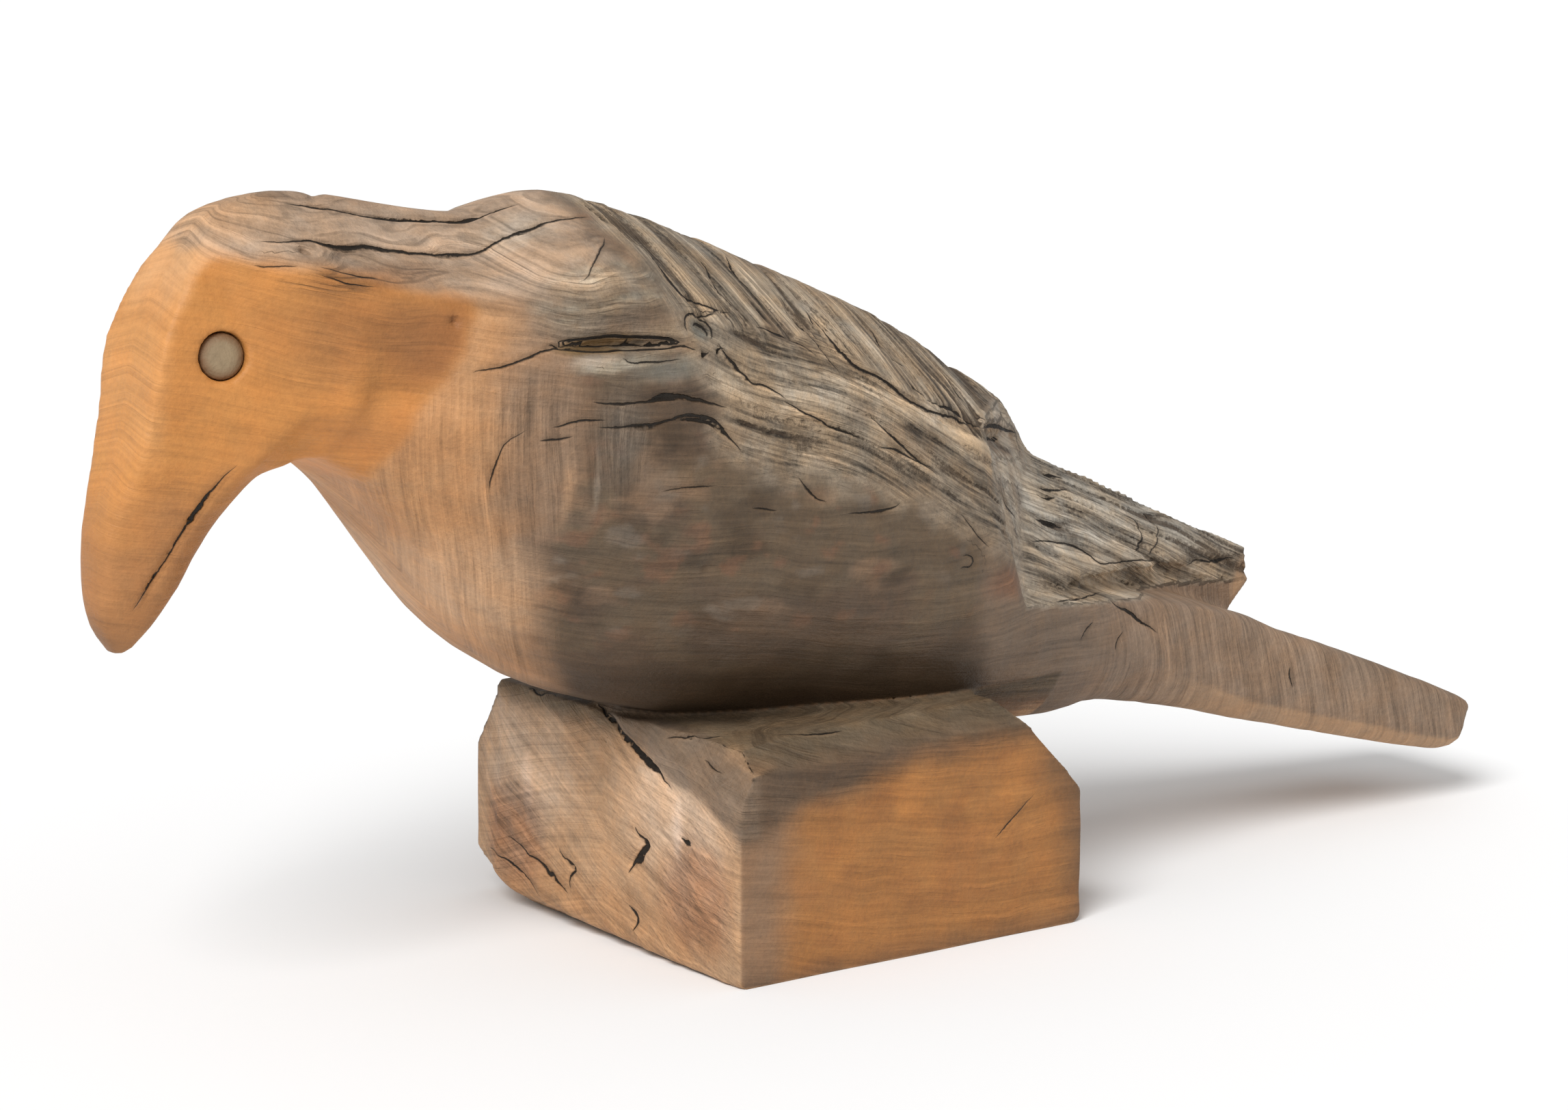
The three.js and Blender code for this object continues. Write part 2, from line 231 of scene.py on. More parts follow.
SPLITS: Tuple[Split, ...] = (
    Split("nape_upper", 0, 0.42, 1.2, (
        (-136.4, -4.8, 178.3), (-128.5, -5, 177.1), (-123.5, -5.3, 176.1), (-118.2, -6.1, 174.6),
        (-110.8, -6.1, 173.1), (-102.9, -5.4, 171.8), (-94.9, -4.8, 170.8), (-89.3, -4.9, 170.3),
        (-84, -4.4, 171), (-79.3, -5.3, 171.8), (-72, -6.2, 172.3))),
    Split("nape_lower", 1, 0.46, 1.5, (
        (-147.9, -12.9, 172.2), (-142.8, -14.4, 171.8), (-138.5, -14.5, 171.8), (-134.6, -14.1, 171.5),
        (-131.4, -14.8, 170.3), (-127.3, -15.3, 169.3), (-121.8, -14.7, 169.1), (-117.9, -15.4, 168.3),
        (-111.8, -16.3, 167), (-104.3, -16.2, 165.8), (-95.1, -16, 165.1), (-89.8, -15.2, 165.9),
        (-85.4, -14.4, 167.4), (-78.8, -15.2, 169.1), (-71.3, -14.8, 170), (-60.9, -13.1, 169.1)), drop=0.5, both=True),
    Split("curl_1", 2, 0.25, 0.4, (
        (-139.4, -20.3, 167.4), (-135.8, -21.4, 166.3), (-131.8, -21.9, 165), (-126.6, -22.8, 163.7),
        (-122.5, -24.3, 162.7))),
    Split("curl_2", 0, 0.25, 0.4, (
        (-139.3, -21.1, 166), (-136.2, -22.4, 164.5), (-132.9, -23.5, 163.3), (-127.1, -24.6, 162),
        (-122.9, -26, 161.3))),
    Split("curl_4", 1, 0.25, 0.3, (
        (-151.7, -14.7, 167.9), (-148.5, -16.5, 167.2), (-144.2, -18.6, 167.4), (-140.8, -20.2, 166.9))),
    Split("left_of_hollow", 1, 0.24, 0.6, (
        (-110, -33.1, 140.8), (-107.3, -34.2, 142.7), (-102, -36.9, 143.7), (-97.6, -38.7, 145.2),
        (-91.6, -40.4, 147.2), (-85.3, -41.7, 147.9), (-76.4, -42.4, 146.5))),
    Split("breast_check", 2, 0.22, 0.5, (
        (-102.6, -32.1, 113.7), (-103.2, -35, 120.3), (-102.3, -38, 126.6), (-98.9, -40.3, 129.5), (-95.5, -41.7, 131.1))),
    Split("mouth", 2, 0.5, 1.4, (
        (-177.1, -5.7, 93.7), (-175.9, -6.1, 95.4), (-170.6, -6.5, 102.5), (-166.2, -8.5, 109.4),
        (-161.1, -11.6, 117.6), (-156.1, -14.7, 124.6), (-154.3, -15.8, 126.3)), both=True),
    Split("hollow_line", 2, 1.5, 4.6, (
        (-92.5, -39.8, 147.6), (-87.8, -41.3, 147.7), (-85.1, -42, 147.3), (-79.8, -42.6, 146.9),
        (-74.4, -42.3, 146.6), (-68.8, -41.9, 145.9), (-63.1, -41.2, 145.3), (-57.4, -40.6, 144.6),
        (-52.9, -41.2, 142.4)), drop=-0.9, both=True),
    Split("hollow_second", 0, 0.5, 0.9, (
        (-77, -43.3, 143.9), (-72.5, -43.4, 142.4), (-67, -42.8, 141.7), (-56.6, -41.8, 141.2))),
    Split("slash_a", 1, 0.5, 1.6, (
        (-84.8, -44.6, 135.1), (-79.3, -45.4, 134.3), (-72.9, -45.6, 133.9), (-69, -45.5, 133.7),
        (-66.1, -45.1, 134.1), (-61.9, -44.8, 134.2), (-56.5, -44.7, 133), (-49.3, -44.8, 130.3),
        (-46.3, -44.7, 129.3))),
    Split("slash_b1", 2, 0.35, 1.0, (
        (-93.8, -42.2, 130.1), (-90.6, -43.2, 130.5), (-86.4, -44.5, 131.1), (-79.6, -45.8, 130.7))),
    Split("slash_b2", 0, 0.55, 1.8, (
        (-84.2, -45, 129.4), (-78.5, -46.1, 129), (-73.6, -46.5, 128.8), (-69.1, -46.6, 128.3),
        (-65.8, -46.5, 128.9), (-60.2, -46.1, 129.5), (-56.2, -46, 128.9), (-51.5, -45.9, 127.2),
        (-45.7, -47.1, 120.5), (-43.3, -47.4, 117.6)), drop=0.4, both=True),
    Split("slash_c", 1, 0.4, 1.5, (
        (-96.3, -41.2, 127.5), (-93.3, -42.4, 127.5), (-90.6, -43.2, 127.6), (-87.4, -44.1, 128.2))),
    Split("mantle_edge", 2, 0.25, 0.6, (
        (-62, -18.2, 166.9), (-65.2, -23.5, 165.2), (-73.6, -31.6, 162.8), (-79, -35.4, 160.1),
        (-85.1, -34.9, 159.2))),
    Split("knot_upper", 1, 0.6, 1.2, ((-51.3, -36.8, 148.9), (-48.3, -35.9, 149), (-41.9, -34.1, 148.6))),
    Split("knot_ring", 2, 0.7, 1.2, ring((-50.6, -38.4, 146.8), 3.9, 200, -70), both=True),
    Split("knot_heart", 0, 0.5, 0.8, ring((-50.2, -38.6, 146.3), 1.9, 150, -60), both=True),
    Split("knot_pit", 1, 1.2, 1.8, ((-52.6, -40.6, 141.6), (-51.4, -40.6, 141.2), (-50.4, -40.4, 141.6)), both=True),
    Split("knot_pit_2", 2, 1.0, 1.6, ((-47.6, -39.6, 141.8), (-46.6, -39.6, 141.4), (-45.6, -39.2, 141.8))),
    Split("back_1", 1, 0.45, 0.9, (
        (-50.4, -18.6, 163.2), (-51.4, -24.4, 160.2), (-51.3, -28.9, 157), (-51.1, -32.1, 154.4),
        (-48.1, -33.4, 151.9), (-40.8, -33.5, 148.9), (-36, -32.5, 147.8)), drop=0.5, both=True),
    Split("back_2", 0, 0.45, 0.9, (
        (-35.3, -15.3, 159.1), (-34.5, -19.7, 156.3), (-36.9, -26.5, 153.1), (-35.8, -29.5, 150.1),
        (-32.5, -31.4, 146.7)), both=True),
    Split("back_3", 1, 0.5, 1.0, (
        (-20.9, -7.8, 156.5), (-23.2, -14.6, 154), (-22.9, -18.7, 151.2), (-21.8, -24.9, 146.1))),
    Split("back_4", 0, 0.5, 1.0, (
        (-13.2, -16.8, 147.7), (-13.1, -22, 144), (-10.9, -25.5, 140.4), (-8.9, -28.1, 137.2),
        (-8.5, -31.2, 134.3), (-5.7, -33.6, 130.2)), both=True),
    Split("back_5", 1, 0.5, 1.0, (
        (-5.1, -16.9, 144.2), (-5.1, -22.4, 140.4), (-4.2, -25.7, 137.5), (-1.6, -28.4, 134.1))),
    Split("back_6", 0, 0.6, 1.3, (
        (-47.4, -38.7, 144.7), (-45, -40, 141.1), (-41.6, -40.8, 137.6), (-38.2, -41.5, 133.8),
        (-34.2, -40.8, 132.7), (-26.8, -40.7, 127.7)), drop=0.7, both=True),
    Split("back_7", 2, 0.5, 1.0, (
        (-31.6, -32.8, 144.6), (-25.6, -31.2, 142.7), (-19.2, -29.9, 140.2), (-14.9, -30.5, 137.6),
        (-10.8, -32.4, 133.6))),
    Split("back_8", 2, 0.65, 1.6, (
        (-5.5, -18.7, 143.2), (-3.7, -21, 140.9), (-3.2, -24.2, 138.4), (-2, -27.2, 135.3),
        (-0.5, -29.8, 132.5), (2.6, -30.5, 130.5), (7.4, -30.4, 128.1), (14.3, -31.6, 122.7),
        (22.8, -30.9, 118.5), (28.3, -29.3, 117), (32.6, -28.5, 115.1), (36.5, -28.3, 112.7)), drop=0.9, both=True),
    Split("back_9", 0, 0.6, 1.2, (
        (18.9, -29.7, 122.4), (23, -29.1, 120.7), (30, -27.2, 118.4), (36.1, -27.4, 114.2),
        (41.2, -24.8, 112.1))),
    Split("back_10", 1, 0.5, 0.9, (
        (36.4, -10.8, 127), (36.8, -14.1, 124.5), (37.3, -16.6, 122.4), (37.1, -20.7, 119.5),
        (39.1, -22, 117.1), (40.1, -23.9, 114.8), (45.7, -20.8, 112)), both=True),
    Split("back_11", 0, 0.4, 0.7, (
        (15.6, -12.4, 137.7), (16, -16.4, 134.8), (15.1, -21.4, 131.7), (20.4, -23.2, 127.6))),
    Split("back_12", 1, 0.4, 0.7, ((16.2, -26.9, 126.6), (18, -28.5, 124.3), (20.5, -29.1, 122.1))),
    Split("back_13", 1, 0.5, 1.2, (
        (-31, -41.1, 129.5), (-26.7, -40.9, 127.3), (-18.5, -40.9, 123), (-10.5, -41.1, 119.3),
        (-4.2, -41.5, 115.8))),
    Split("back_14", 2, 0.45, 0.9, (
        (-4.2, -41.5, 115.8), (3, -40.6, 113.9), (11.9, -40.1, 109.4), (17, -39.6, 106.8)), both=True),
    Split("back_15", 0, 0.45, 0.9, (
        (-4.2, -36.9, 125.1), (0.1, -38.9, 119.2), (3.9, -39.5, 116), (8.8, -40.1, 111.5),
        (16.5, -40.3, 105.6))),
    Split("back_16", 2, 0.4, 0.8, (
        (-11.9, -15.4, 148.1), (-11.3, -19.3, 145.2), (-9.7, -22.5, 142.2), (-8.2, -27.5, 137.5))),
    Split("overhang", 1, 1.2, 2.4, (
        (38.8, -26.7, 113), (44.7, -22, 111.2), (53.9, -14.7, 108.9), (61, -9, 106.9), (68.2, -3.4, 104.7)),
        drop=1.8, both=True),
    Split("under_wing_2", 2, 0.25, 0.9, (
        (-30.4, -46.4, 113.5), (-27.2, -46.9, 109.9), (-24.5, -47.2, 107.3), (-20.4, -47.1, 105.8))),
    Split("under_wing_3", 1, 0.4, 1.1, (
        (-19, -47.5, 103.1), (-8.9, -46.7, 102.2), (-5, -46.3, 101.9), (-1, -45.7, 102.3), (2.2, -44.7, 103.6)),
        both=True),
    Split("under_wing_4", 2, 0.25, 0.9, (
        (18, -42.1, 100), (21.6, -42.7, 95.7), (25.3, -43.1, 91.3), (29.6, -42.9, 87.5))),
    Split("flank_1", 0, 0.25, 0.9, ((-69.3, -47.5, 113.8), (-64.5, -48, 114.3), (-51.6, -48.5, 113.6))),
    Split("flank_4", 0, 0.25, 0.6, ((-45.1, -48.6, 108), (-40.2, -48.5, 107), (-35.9, -48.4, 106.1))),
    Split("flank_curl", 2, 0.25, 0.4, (
        (16.2, -45.6, 88), (19.8, -44.9, 88.6), (22.2, -44.7, 87.1), (20.6, -45.1, 85.6), (17.2, -45.6, 85.9),
        (16.3, -45.8, 84.4))),
    Split("wing_end_check", 2, 0.5, 0.7, (
        (43.9, -26.6, 101.2), (43.5, -28.3, 97.8), (43.8, -29.2, 94.9), (48.9, -25.9, 91.4),
        (51.2, -24.9, 88.7))),
    Split("tips_crack", 1, 0.55, 1.3, (
        (53.4, -26.4, 84.5), (63.4, -23.1, 82.7), (71.7, -21.3, 80.2), (76.5, -21.6, 77.3),
        (78.9, -22.3, 75.2), (88.5, -19.2, 73.9), (100.1, -14.9, 72.1), (106.1, -12.7, 70.5)), drop=1.0, both=True),
    Split("tips_line_1", 0, 0.4, 0.6, ((71.4, -6.2, 95.7), (77.2, -5.2, 93.9), (82.1, -4.6, 92.1))),
    Split("tips_line_2", 2, 0.5, 0.8, ((66.6, -12, 93.3), (74.4, -9.8, 91.5), (81.1, -7.6, 90.1)), both=True),
    Split("tips_line_3", 0, 0.6, 0.9, ((64.4, -14.7, 92.2), (68, -13.9, 91.1), (73.2, -12.4, 90))),
    Split("tips_line_4", 2, 0.6, 0.9, ((59.9, -20.2, 88), (65.5, -19.3, 86), (70.8, -18.4, 84.3))),
    Split("tips_arc_1", 0, 0.35, 0.5, (
        (95.5, -8.4, 82.9), (100.9, -7.9, 80.6), (101.7, -10, 77.7), (98.4, -13.3, 75.5), (92.4, -16.8, 74.5))),
    Split("tips_arc_2", 2, 0.35, 0.5, (
        (103.2, -4.1, 82.8), (108.9, -4.5, 79.8), (108.5, -8, 76.5), (103.2, -12.5, 74), (97.2, -16, 73))),
    Split("tips_low", 2, 0.5, 0.9, (
        (115.4, -7.8, 66.9), (119.6, -8.9, 67.8), (127.6, -6.7, 66.8), (134.4, -4.9, 66.3), (139, -3.8, 65.5))),
    Split("tail_root", 0, 0.6, 1.6, (
        (74.4, -28.2, 69.1), (75.4, -31.2, 67.6), (80, -30.4, 65.3), (83.5, -29.8, 62.8), (87.2, -29, 60.4),
        (93.4, -27.7, 56.8)), both=True),
    Split("tail_root_2", 1, 0.5, 0.9, (
        (77.2, -24.4, 69.1), (66.8, -30.9, 70.6), (56.2, -36.6, 71.9), (49.1, -39.2, 72.6))),
    Split("tail_check_1", 2, 0.25, 0.6, ((66.2, -35.1, 65.6), (62.3, -36.4, 63.7), (60.1, -36.6, 61.2))),
    Split("tail_check_2", 1, 0.3, 0.8, ((78.6, -31.3, 61.1), (75.7, -32.1, 59), (74.6, -32, 56.1))),
    Split("tail_check_3", 2, 0.25, 0.6, ((138.3, -22.7, 43.1), (137.9, -22.8, 40), (139.4, -22.7, 36.4))),
    Split("block_crack", 0, 0.8, 2.2, (
        (-45.3, 5.9, 54), (-49.8, -2.3, 53.4), (-49.8, -4.8, 51.4), (-49.8, -9.6, 48.5), (-49.8, -14.5, 46.5),
        (-49.8, -21.4, 43.2), (-49.8, -28.3, 40.5)), wild=0.6),
    # painted shade: the two slits below carry a dark line where the belly overhangs the block's top
    Split("block_slit", 2, 0.5, 0.9, ((-48.9, -21.6, 51.4), (-46.4, -30.6, 53.9), (-40, -34.3, 54))),
    Split("block_slit_2", 1, 0.25, 0.6, ((-33.7, -40.8, 54), (-24.6, -45, 53.8), (-13.9, -45.9, 53.1))),
    Split("block_check", 1, 0.2, 0.4, ((20.4, -52, 22), (25.7, -52, 25.5), (30, -52, 29.1), (36.4, -52, 33.7))),
    Split("pit_a", 1, 1.1, 2.6, (
        (-49.8, -13, 30.5), (-49.8, -14.4, 27.8), (-49.8, -16.6, 25.7), (-49.8, -14.9, 23.2),
        (-49.8, -12.6, 21.3), (-49.8, -10.4, 17.6)), wild=0.6),
    Split("pit_b", 2, 0.6, 1.6, (
        (-49.8, 16.9, 19.6), (-49.8, 15.2, 16.6), (-49.8, 11.5, 14.6), (-49.8, 13.3, 11.7), (-49.8, 11.3, 8.4)), wild=0.6),
    Split("pit_c", 0, 0.8, 1.4, ((-49.8, -9.7, 11.1), (-49.8, -12.8, 8.3), (-49.8, -11.7, 4.7)), wild=0.6),
    Split("pit_d", 2, 0.8, 1.0, ((-49.8, -30, 30.4), (-49.8, -31, 29.9), (-49.8, -33.2, 29)), wild=0.6),
    Split("squiggle", 1, 0.6, 1.2, (
        (-49.8, 29.8, 52.8), (-48.5, 28.8, 54), (-49.8, 24, 52.8), (-48.1, 22, 54), (-49.6, 16.6, 54)), wild=0.6),
    Split("bevel_nick", 0, 0.25, 0.9, ((-47.8, -33.8, 49.9), (-47.7, -39.2, 48.4), (-47.5, -44.3, 47.3))),
    Split("block_low_1", 0, 0.5, 0.9, (
        (-47.4, 49.8, 13.6), (-49.8, 37.5, 11.2), (-49.8, 28.7, 7.8), (-49.8, 21.5, 4.1)), wild=0.6),
    Split("block_low_2", 1, 0.5, 0.9, (
        (-49.8, 38.9, 17.9), (-49.8, 30.1, 15.3), (-49.8, 21.4, 11.9), (-49.8, 11.3, 8)), wild=0.6),
)


@dataclass(frozen=True)
class Dent:
    """A hole, hollow or swelling round one place.

    Attributes:
        name: what it is on the carving.
        at: its middle.
        reach: how far it spreads along each axis.
        depth: how deep it goes, less than 0 for a swelling.
        both: whether the far side has a like one.
    """

    name: str
    at: Point
    reach: Point
    depth: float
    both: bool = False


DENTS: Tuple[Dent, ...] = (
    Dent("nape_hole", (-138.4, -16.9, 170.1), (1.1, 1.1, 1.1), 2.4),
    Dent("neck_hole", (-110, -31.1, 153.6), (0.9, 0.9, 0.9), 1.8),
    Dent("near_corner", (-49, -51, 54), (12, 17, 7), 3.4),
    Dent("flank_hole", (-55, -46.5, 95), (1, 1, 1), 1.2),
    Dent("nape_nick", (-125.5, 0, 178.6), (2.4, 6, 1.4), 0.9),
    Dent("hollow", (-72, -43, 148.6), (17, 7, 3.4), 1.6, both=True),
    Dent("hollow_shelf", (-68, -40, 154.5), (14, 8, 2.6), -0.9, both=True),
    Dent("hollow_lip", (-78, -43, 143.6), (12, 8, 1.8), -0.8, both=True),
    Dent("knot_swell", (-50, -38, 146), (8, 7, 7), -1.3, both=True),
    Dent("knot_heart", (-50.4, -38.5, 146.6), (3.4, 3, 3), 1.5, both=True),
)


class Tone(Enum):
    """Named tones of the timber, linear red, green and blue."""

    PEACH = (0.60, 0.325, 0.15)
    APRICOT = (0.575, 0.265, 0.088)
    HONEY = (0.515, 0.215, 0.056)
    AMBER = (0.47, 0.19, 0.055)
    HORN = (0.38, 0.168, 0.06)
    RUST = (0.27, 0.11, 0.036)
    CLAY = (0.44, 0.225, 0.10)
    ROSE = (0.50, 0.30, 0.17)
    FAWN = (0.235, 0.145, 0.088)
    DRIFT = (0.43, 0.295, 0.20)
    CHALK = (0.42, 0.33, 0.25)
    BONE = (0.34, 0.285, 0.215)
    SLATE = (0.15, 0.115, 0.085)
    MOSS = (0.15, 0.14, 0.115)
    ASH = (0.20, 0.155, 0.113)
    SAND = (0.345, 0.262, 0.182)
    SILVER = (0.42, 0.36, 0.29)
    TAUPE = (0.175, 0.12, 0.08)
    TEA = (0.26, 0.172, 0.113)
    UMBER = (0.098, 0.063, 0.039)
    # dark brown for grime blots on the flank, and for the painted shade under the belly
    SOOT = (0.044, 0.026, 0.013)
    PLUM = (0.33, 0.16, 0.085)
    # pale tone of a painted highlight on the block's front
    PEARL = (0.68, 0.49, 0.36)
    # near black for the painted shade inside the small holes
    PITCH = (0.019, 0.012, 0.007)
    BRICK = (0.17, 0.085, 0.048)
    SAWN = (0.43, 0.26, 0.145)
    CREAM = (0.60, 0.42, 0.29)
    OCHRE = (0.34, 0.147, 0.044)
    OLIVE = (0.13, 0.092, 0.055)
    BRONZE = (0.17, 0.10, 0.04)
    KHAKI = (0.24, 0.18, 0.125)


@dataclass(frozen=True)
class Border:
    """A ragged edge across the carving, with the area on one side of it.

    Attributes:
        axis: the coordinate that is compared, 0 for x and 2 for z.
        path: the edge, as pairs of the other coordinate and this one.
        fade: how wide the change is to either side.
        above: whether the area has the greater coordinates.
        over: the other coordinate, z for an edge in x and x for an edge in z unless given.
    """

    axis: int
    path: Tuple[Tuple[float, float], ...]
    fade: float
    above: bool = True
    over: int = -1

    def share(self, surface: "Surface") -> np.ndarray:
        """How much each point belongs to the area, from 0 to 1."""
        other, edge = zip(*self.path)
        p = surface.points
        off = p[:, self.axis] - np.interp(p[:, 2 - self.axis if self.over < 0 else self.over], other, edge)
        off = (off if self.above else -off) + 0.6 * self.fade * surface.ragged
        return ramp(off, -self.fade, self.fade)


@dataclass(frozen=True)
class Spot:
    """A soft round area.

    Attributes:
        at: its middle.
        reach: how far it spreads along each axis.
        core: share of the reach that is covered in full.
        both: whether the far side has a like one.
    """

    at: Point
    reach: Point
    core: float = 0.3
    both: bool = True

    def share(self, surface: "Surface") -> np.ndarray:
        """How much each point belongs to the area, from 0 to 1."""
        off = shape_share(surface, self.at, self.reach, self.both) + 0.14 * surface.ragged
        return ramp(off, 1.15, self.core)


@dataclass(frozen=True)
class Facing:
    """The faces that look one way.

    Attributes:
        way: where they look.
        start: how far a face may turn off, as a cosine.
        both: whether the far side's like faces belong too.
    """

    way: Point
    start: float = 0.6
    both: bool = False

    def share(self, surface: "Surface") -> np.ndarray:
        """How much each point belongs to the area, from 0 to 1."""
        n = surface.normals
        if self.both:
            n = np.stack([n[:, 0], -np.abs(n[:, 1]), n[:, 2]], 1)
        return ramp(n @ np.array(self.way), self.start, self.start + 0.25)


@dataclass(frozen=True)
class Cloudy:
    """Scattered blots.

    Attributes:
        size: their size in millimetres.
        seed: which of the repeatable patterns to take.
        start: noise at which a blot begins, the share of bare wood.
        stretch: how drawn out they are along each axis.
    """

    size: float
    seed: int
    start: float = 0.1
    stretch: Point = (1.0, 1.0, 1.0)

    def share(self, surface: "Surface") -> np.ndarray:
        """How much each point belongs to the area, from 0 to 1."""
        return ramp(cloud(surface.points / np.array(self.stretch), self.size, self.seed, 3), self.start, self.start + 0.25)


@dataclass(frozen=True)
class Coat:
    """One tone laid over a part of the wood, with how strongly the fibres show there.

    Attributes:
        tone: its tone.
        areas: areas that it needs all of.
        cover: how much of what lies below it hides.
        streak: contrast of the fibres, or less than 0 to leave it.
        hair: how many dark hairlines there are, or less than 0 to leave it.
    """

    tone: Tone
    areas: Tuple[Any, ...] = ()
    cover: float = 1.0
    streak: float = -1.0
    hair: float = -1.0


@dataclass(frozen=True)
class Mask:
    """An area worked out by a function, such as the wings."""

    rule: Callable[[np.ndarray], np.ndarray]
    inside: bool = True

    def share(self, surface: "Surface") -> np.ndarray:
        """How much each point belongs to the area, from 0 to 1."""
        share = self.rule(surface.points)
        return share if self.inside else 1.0 - share


def block_amount(points: np.ndarray) -> np.ndarray:
    """1 on the block and 0 on the bird."""
    return ramp(points[:, 2], 55.2, 54.4) * (points[:, 0] < 56)


def wing_end_side(points: np.ndarray) -> np.ndarray:
    """1 behind the sawn ends of the wings, 0 before them."""
    x, y, z = points.T
    sweep, lean = math.radians(48.0), math.radians(16.0)
    depth = (
        (x - 74.5) * math.cos(sweep) * math.cos(lean)
        + np.abs(y) * math.sin(sweep) * math.cos(lean)
        + (z - 98.8) * math.sin(lean)
    )
    return ramp(depth, -0.8, 0.8)


def wing_amount(points: np.ndarray) -> np.ndarray:
    """How much of the wings and mantle there is at each point, from 0 to 1."""
    x, y, z = points.T
    border = np.interp(x, [-90, -70, -56, -40, -20.6, 3.8, 20, 38, 60], [150, 136, 120, 116, 109, 102, 94, 84, 76])
    front = -60.0 + 0.3 * (np.abs(y) - 18.0)
    ragged = 6.0 * cloud(points * np.array([1, 1, 1.6]), 11.0, 31, 3)
    return ramp(z - border + ragged, -4.0, 5.0) * ramp(x - front + ragged, -5.0, 8.0)


def slash_amount(points: np.ndarray) -> np.ndarray:
    """1 where the knife cut slanting strokes beside the ridge of the back, 0 below them."""
    edge = np.interp(points[:, 0], [-60, -48, -30, -5, 15, 36, 60], [150, 147, 143, 139, 124, 113, 106])
    return ramp(points[:, 2] - edge + 4.0 * cloud(points, 9.0, 33), -1.5, 1.5)


def tips_amount(points: np.ndarray) -> np.ndarray:
    """1 on the wing tips that lie over the tail, 0 elsewhere."""
    x, y, z = points.T
    floor = np.interp(x, [44, 72, 90, 142], [72.5, 68.5, 66.0, 60.0])
    return wing_end_side(points) * ramp(z - floor, -0.6, 0.8) * (x > 40)


BREAST_EDGE = ((58, -64), (65, -72), (78, -82), (89, -88), (99, -91), (109, -90), (119, -86), (135, -84), (145, -86))
ORANGE_EDGE = ((58, -66), (65, -75), (78, -87), (89, -94), (99, -98), (109, -101), (119, -103), (129, -103), (145, -98))
NECK_EDGE = ((105, -124), (116, -124), (123, -123), (134, -118), (143, -111.5), (151, -108), (160, -103))
NAPE_EDGE = ((-178, 178), (-160, 171), (-151, 168.5), (-140, 167), (-129, 164.5), (-118, 161.5), (-104, 158), (-84, 157))
BROW_EDGE = ((120, -171.5), (132, -171), (145, -170.5), (157, -167), (165, -162), (169, -158), (178, -150))
# lower edge of the painted shade under the belly on the block's sides
BELLY_SHADE_EDGE = ((-50, 33.8), (-31, 38), (-13, 42), (5.5, 45.4), (29, 47), (60, 47))
BEVEL_EDGE = ((-52, 34), (-39, 40.3), (-24.7, 43.4), (-11.8, 48.8), (2, 54))
ON_BLOCK = Mask(block_amount)
WINGS = Mask(wing_amount)
SLASHES = Mask(slash_amount)
TIPS = Mask(tips_amount)
HEAD = Border(0, NECK_EDGE, 2.4, False)
SHOULDER = Spot((-70, -36, 152), (24, 18, 14), 0.5)
SAWN_SIDE = Facing((0, -1, 0), 0.6, True)
BLOCK_FRONT = Facing((-1, 0, 0), 0.4)
WING_ENDS = Facing((0.643, -0.714, 0.276), 0.7, True)
ON_WING_ENDS = Spot((56, -19, 92), (26, 22, 22), 0.8)

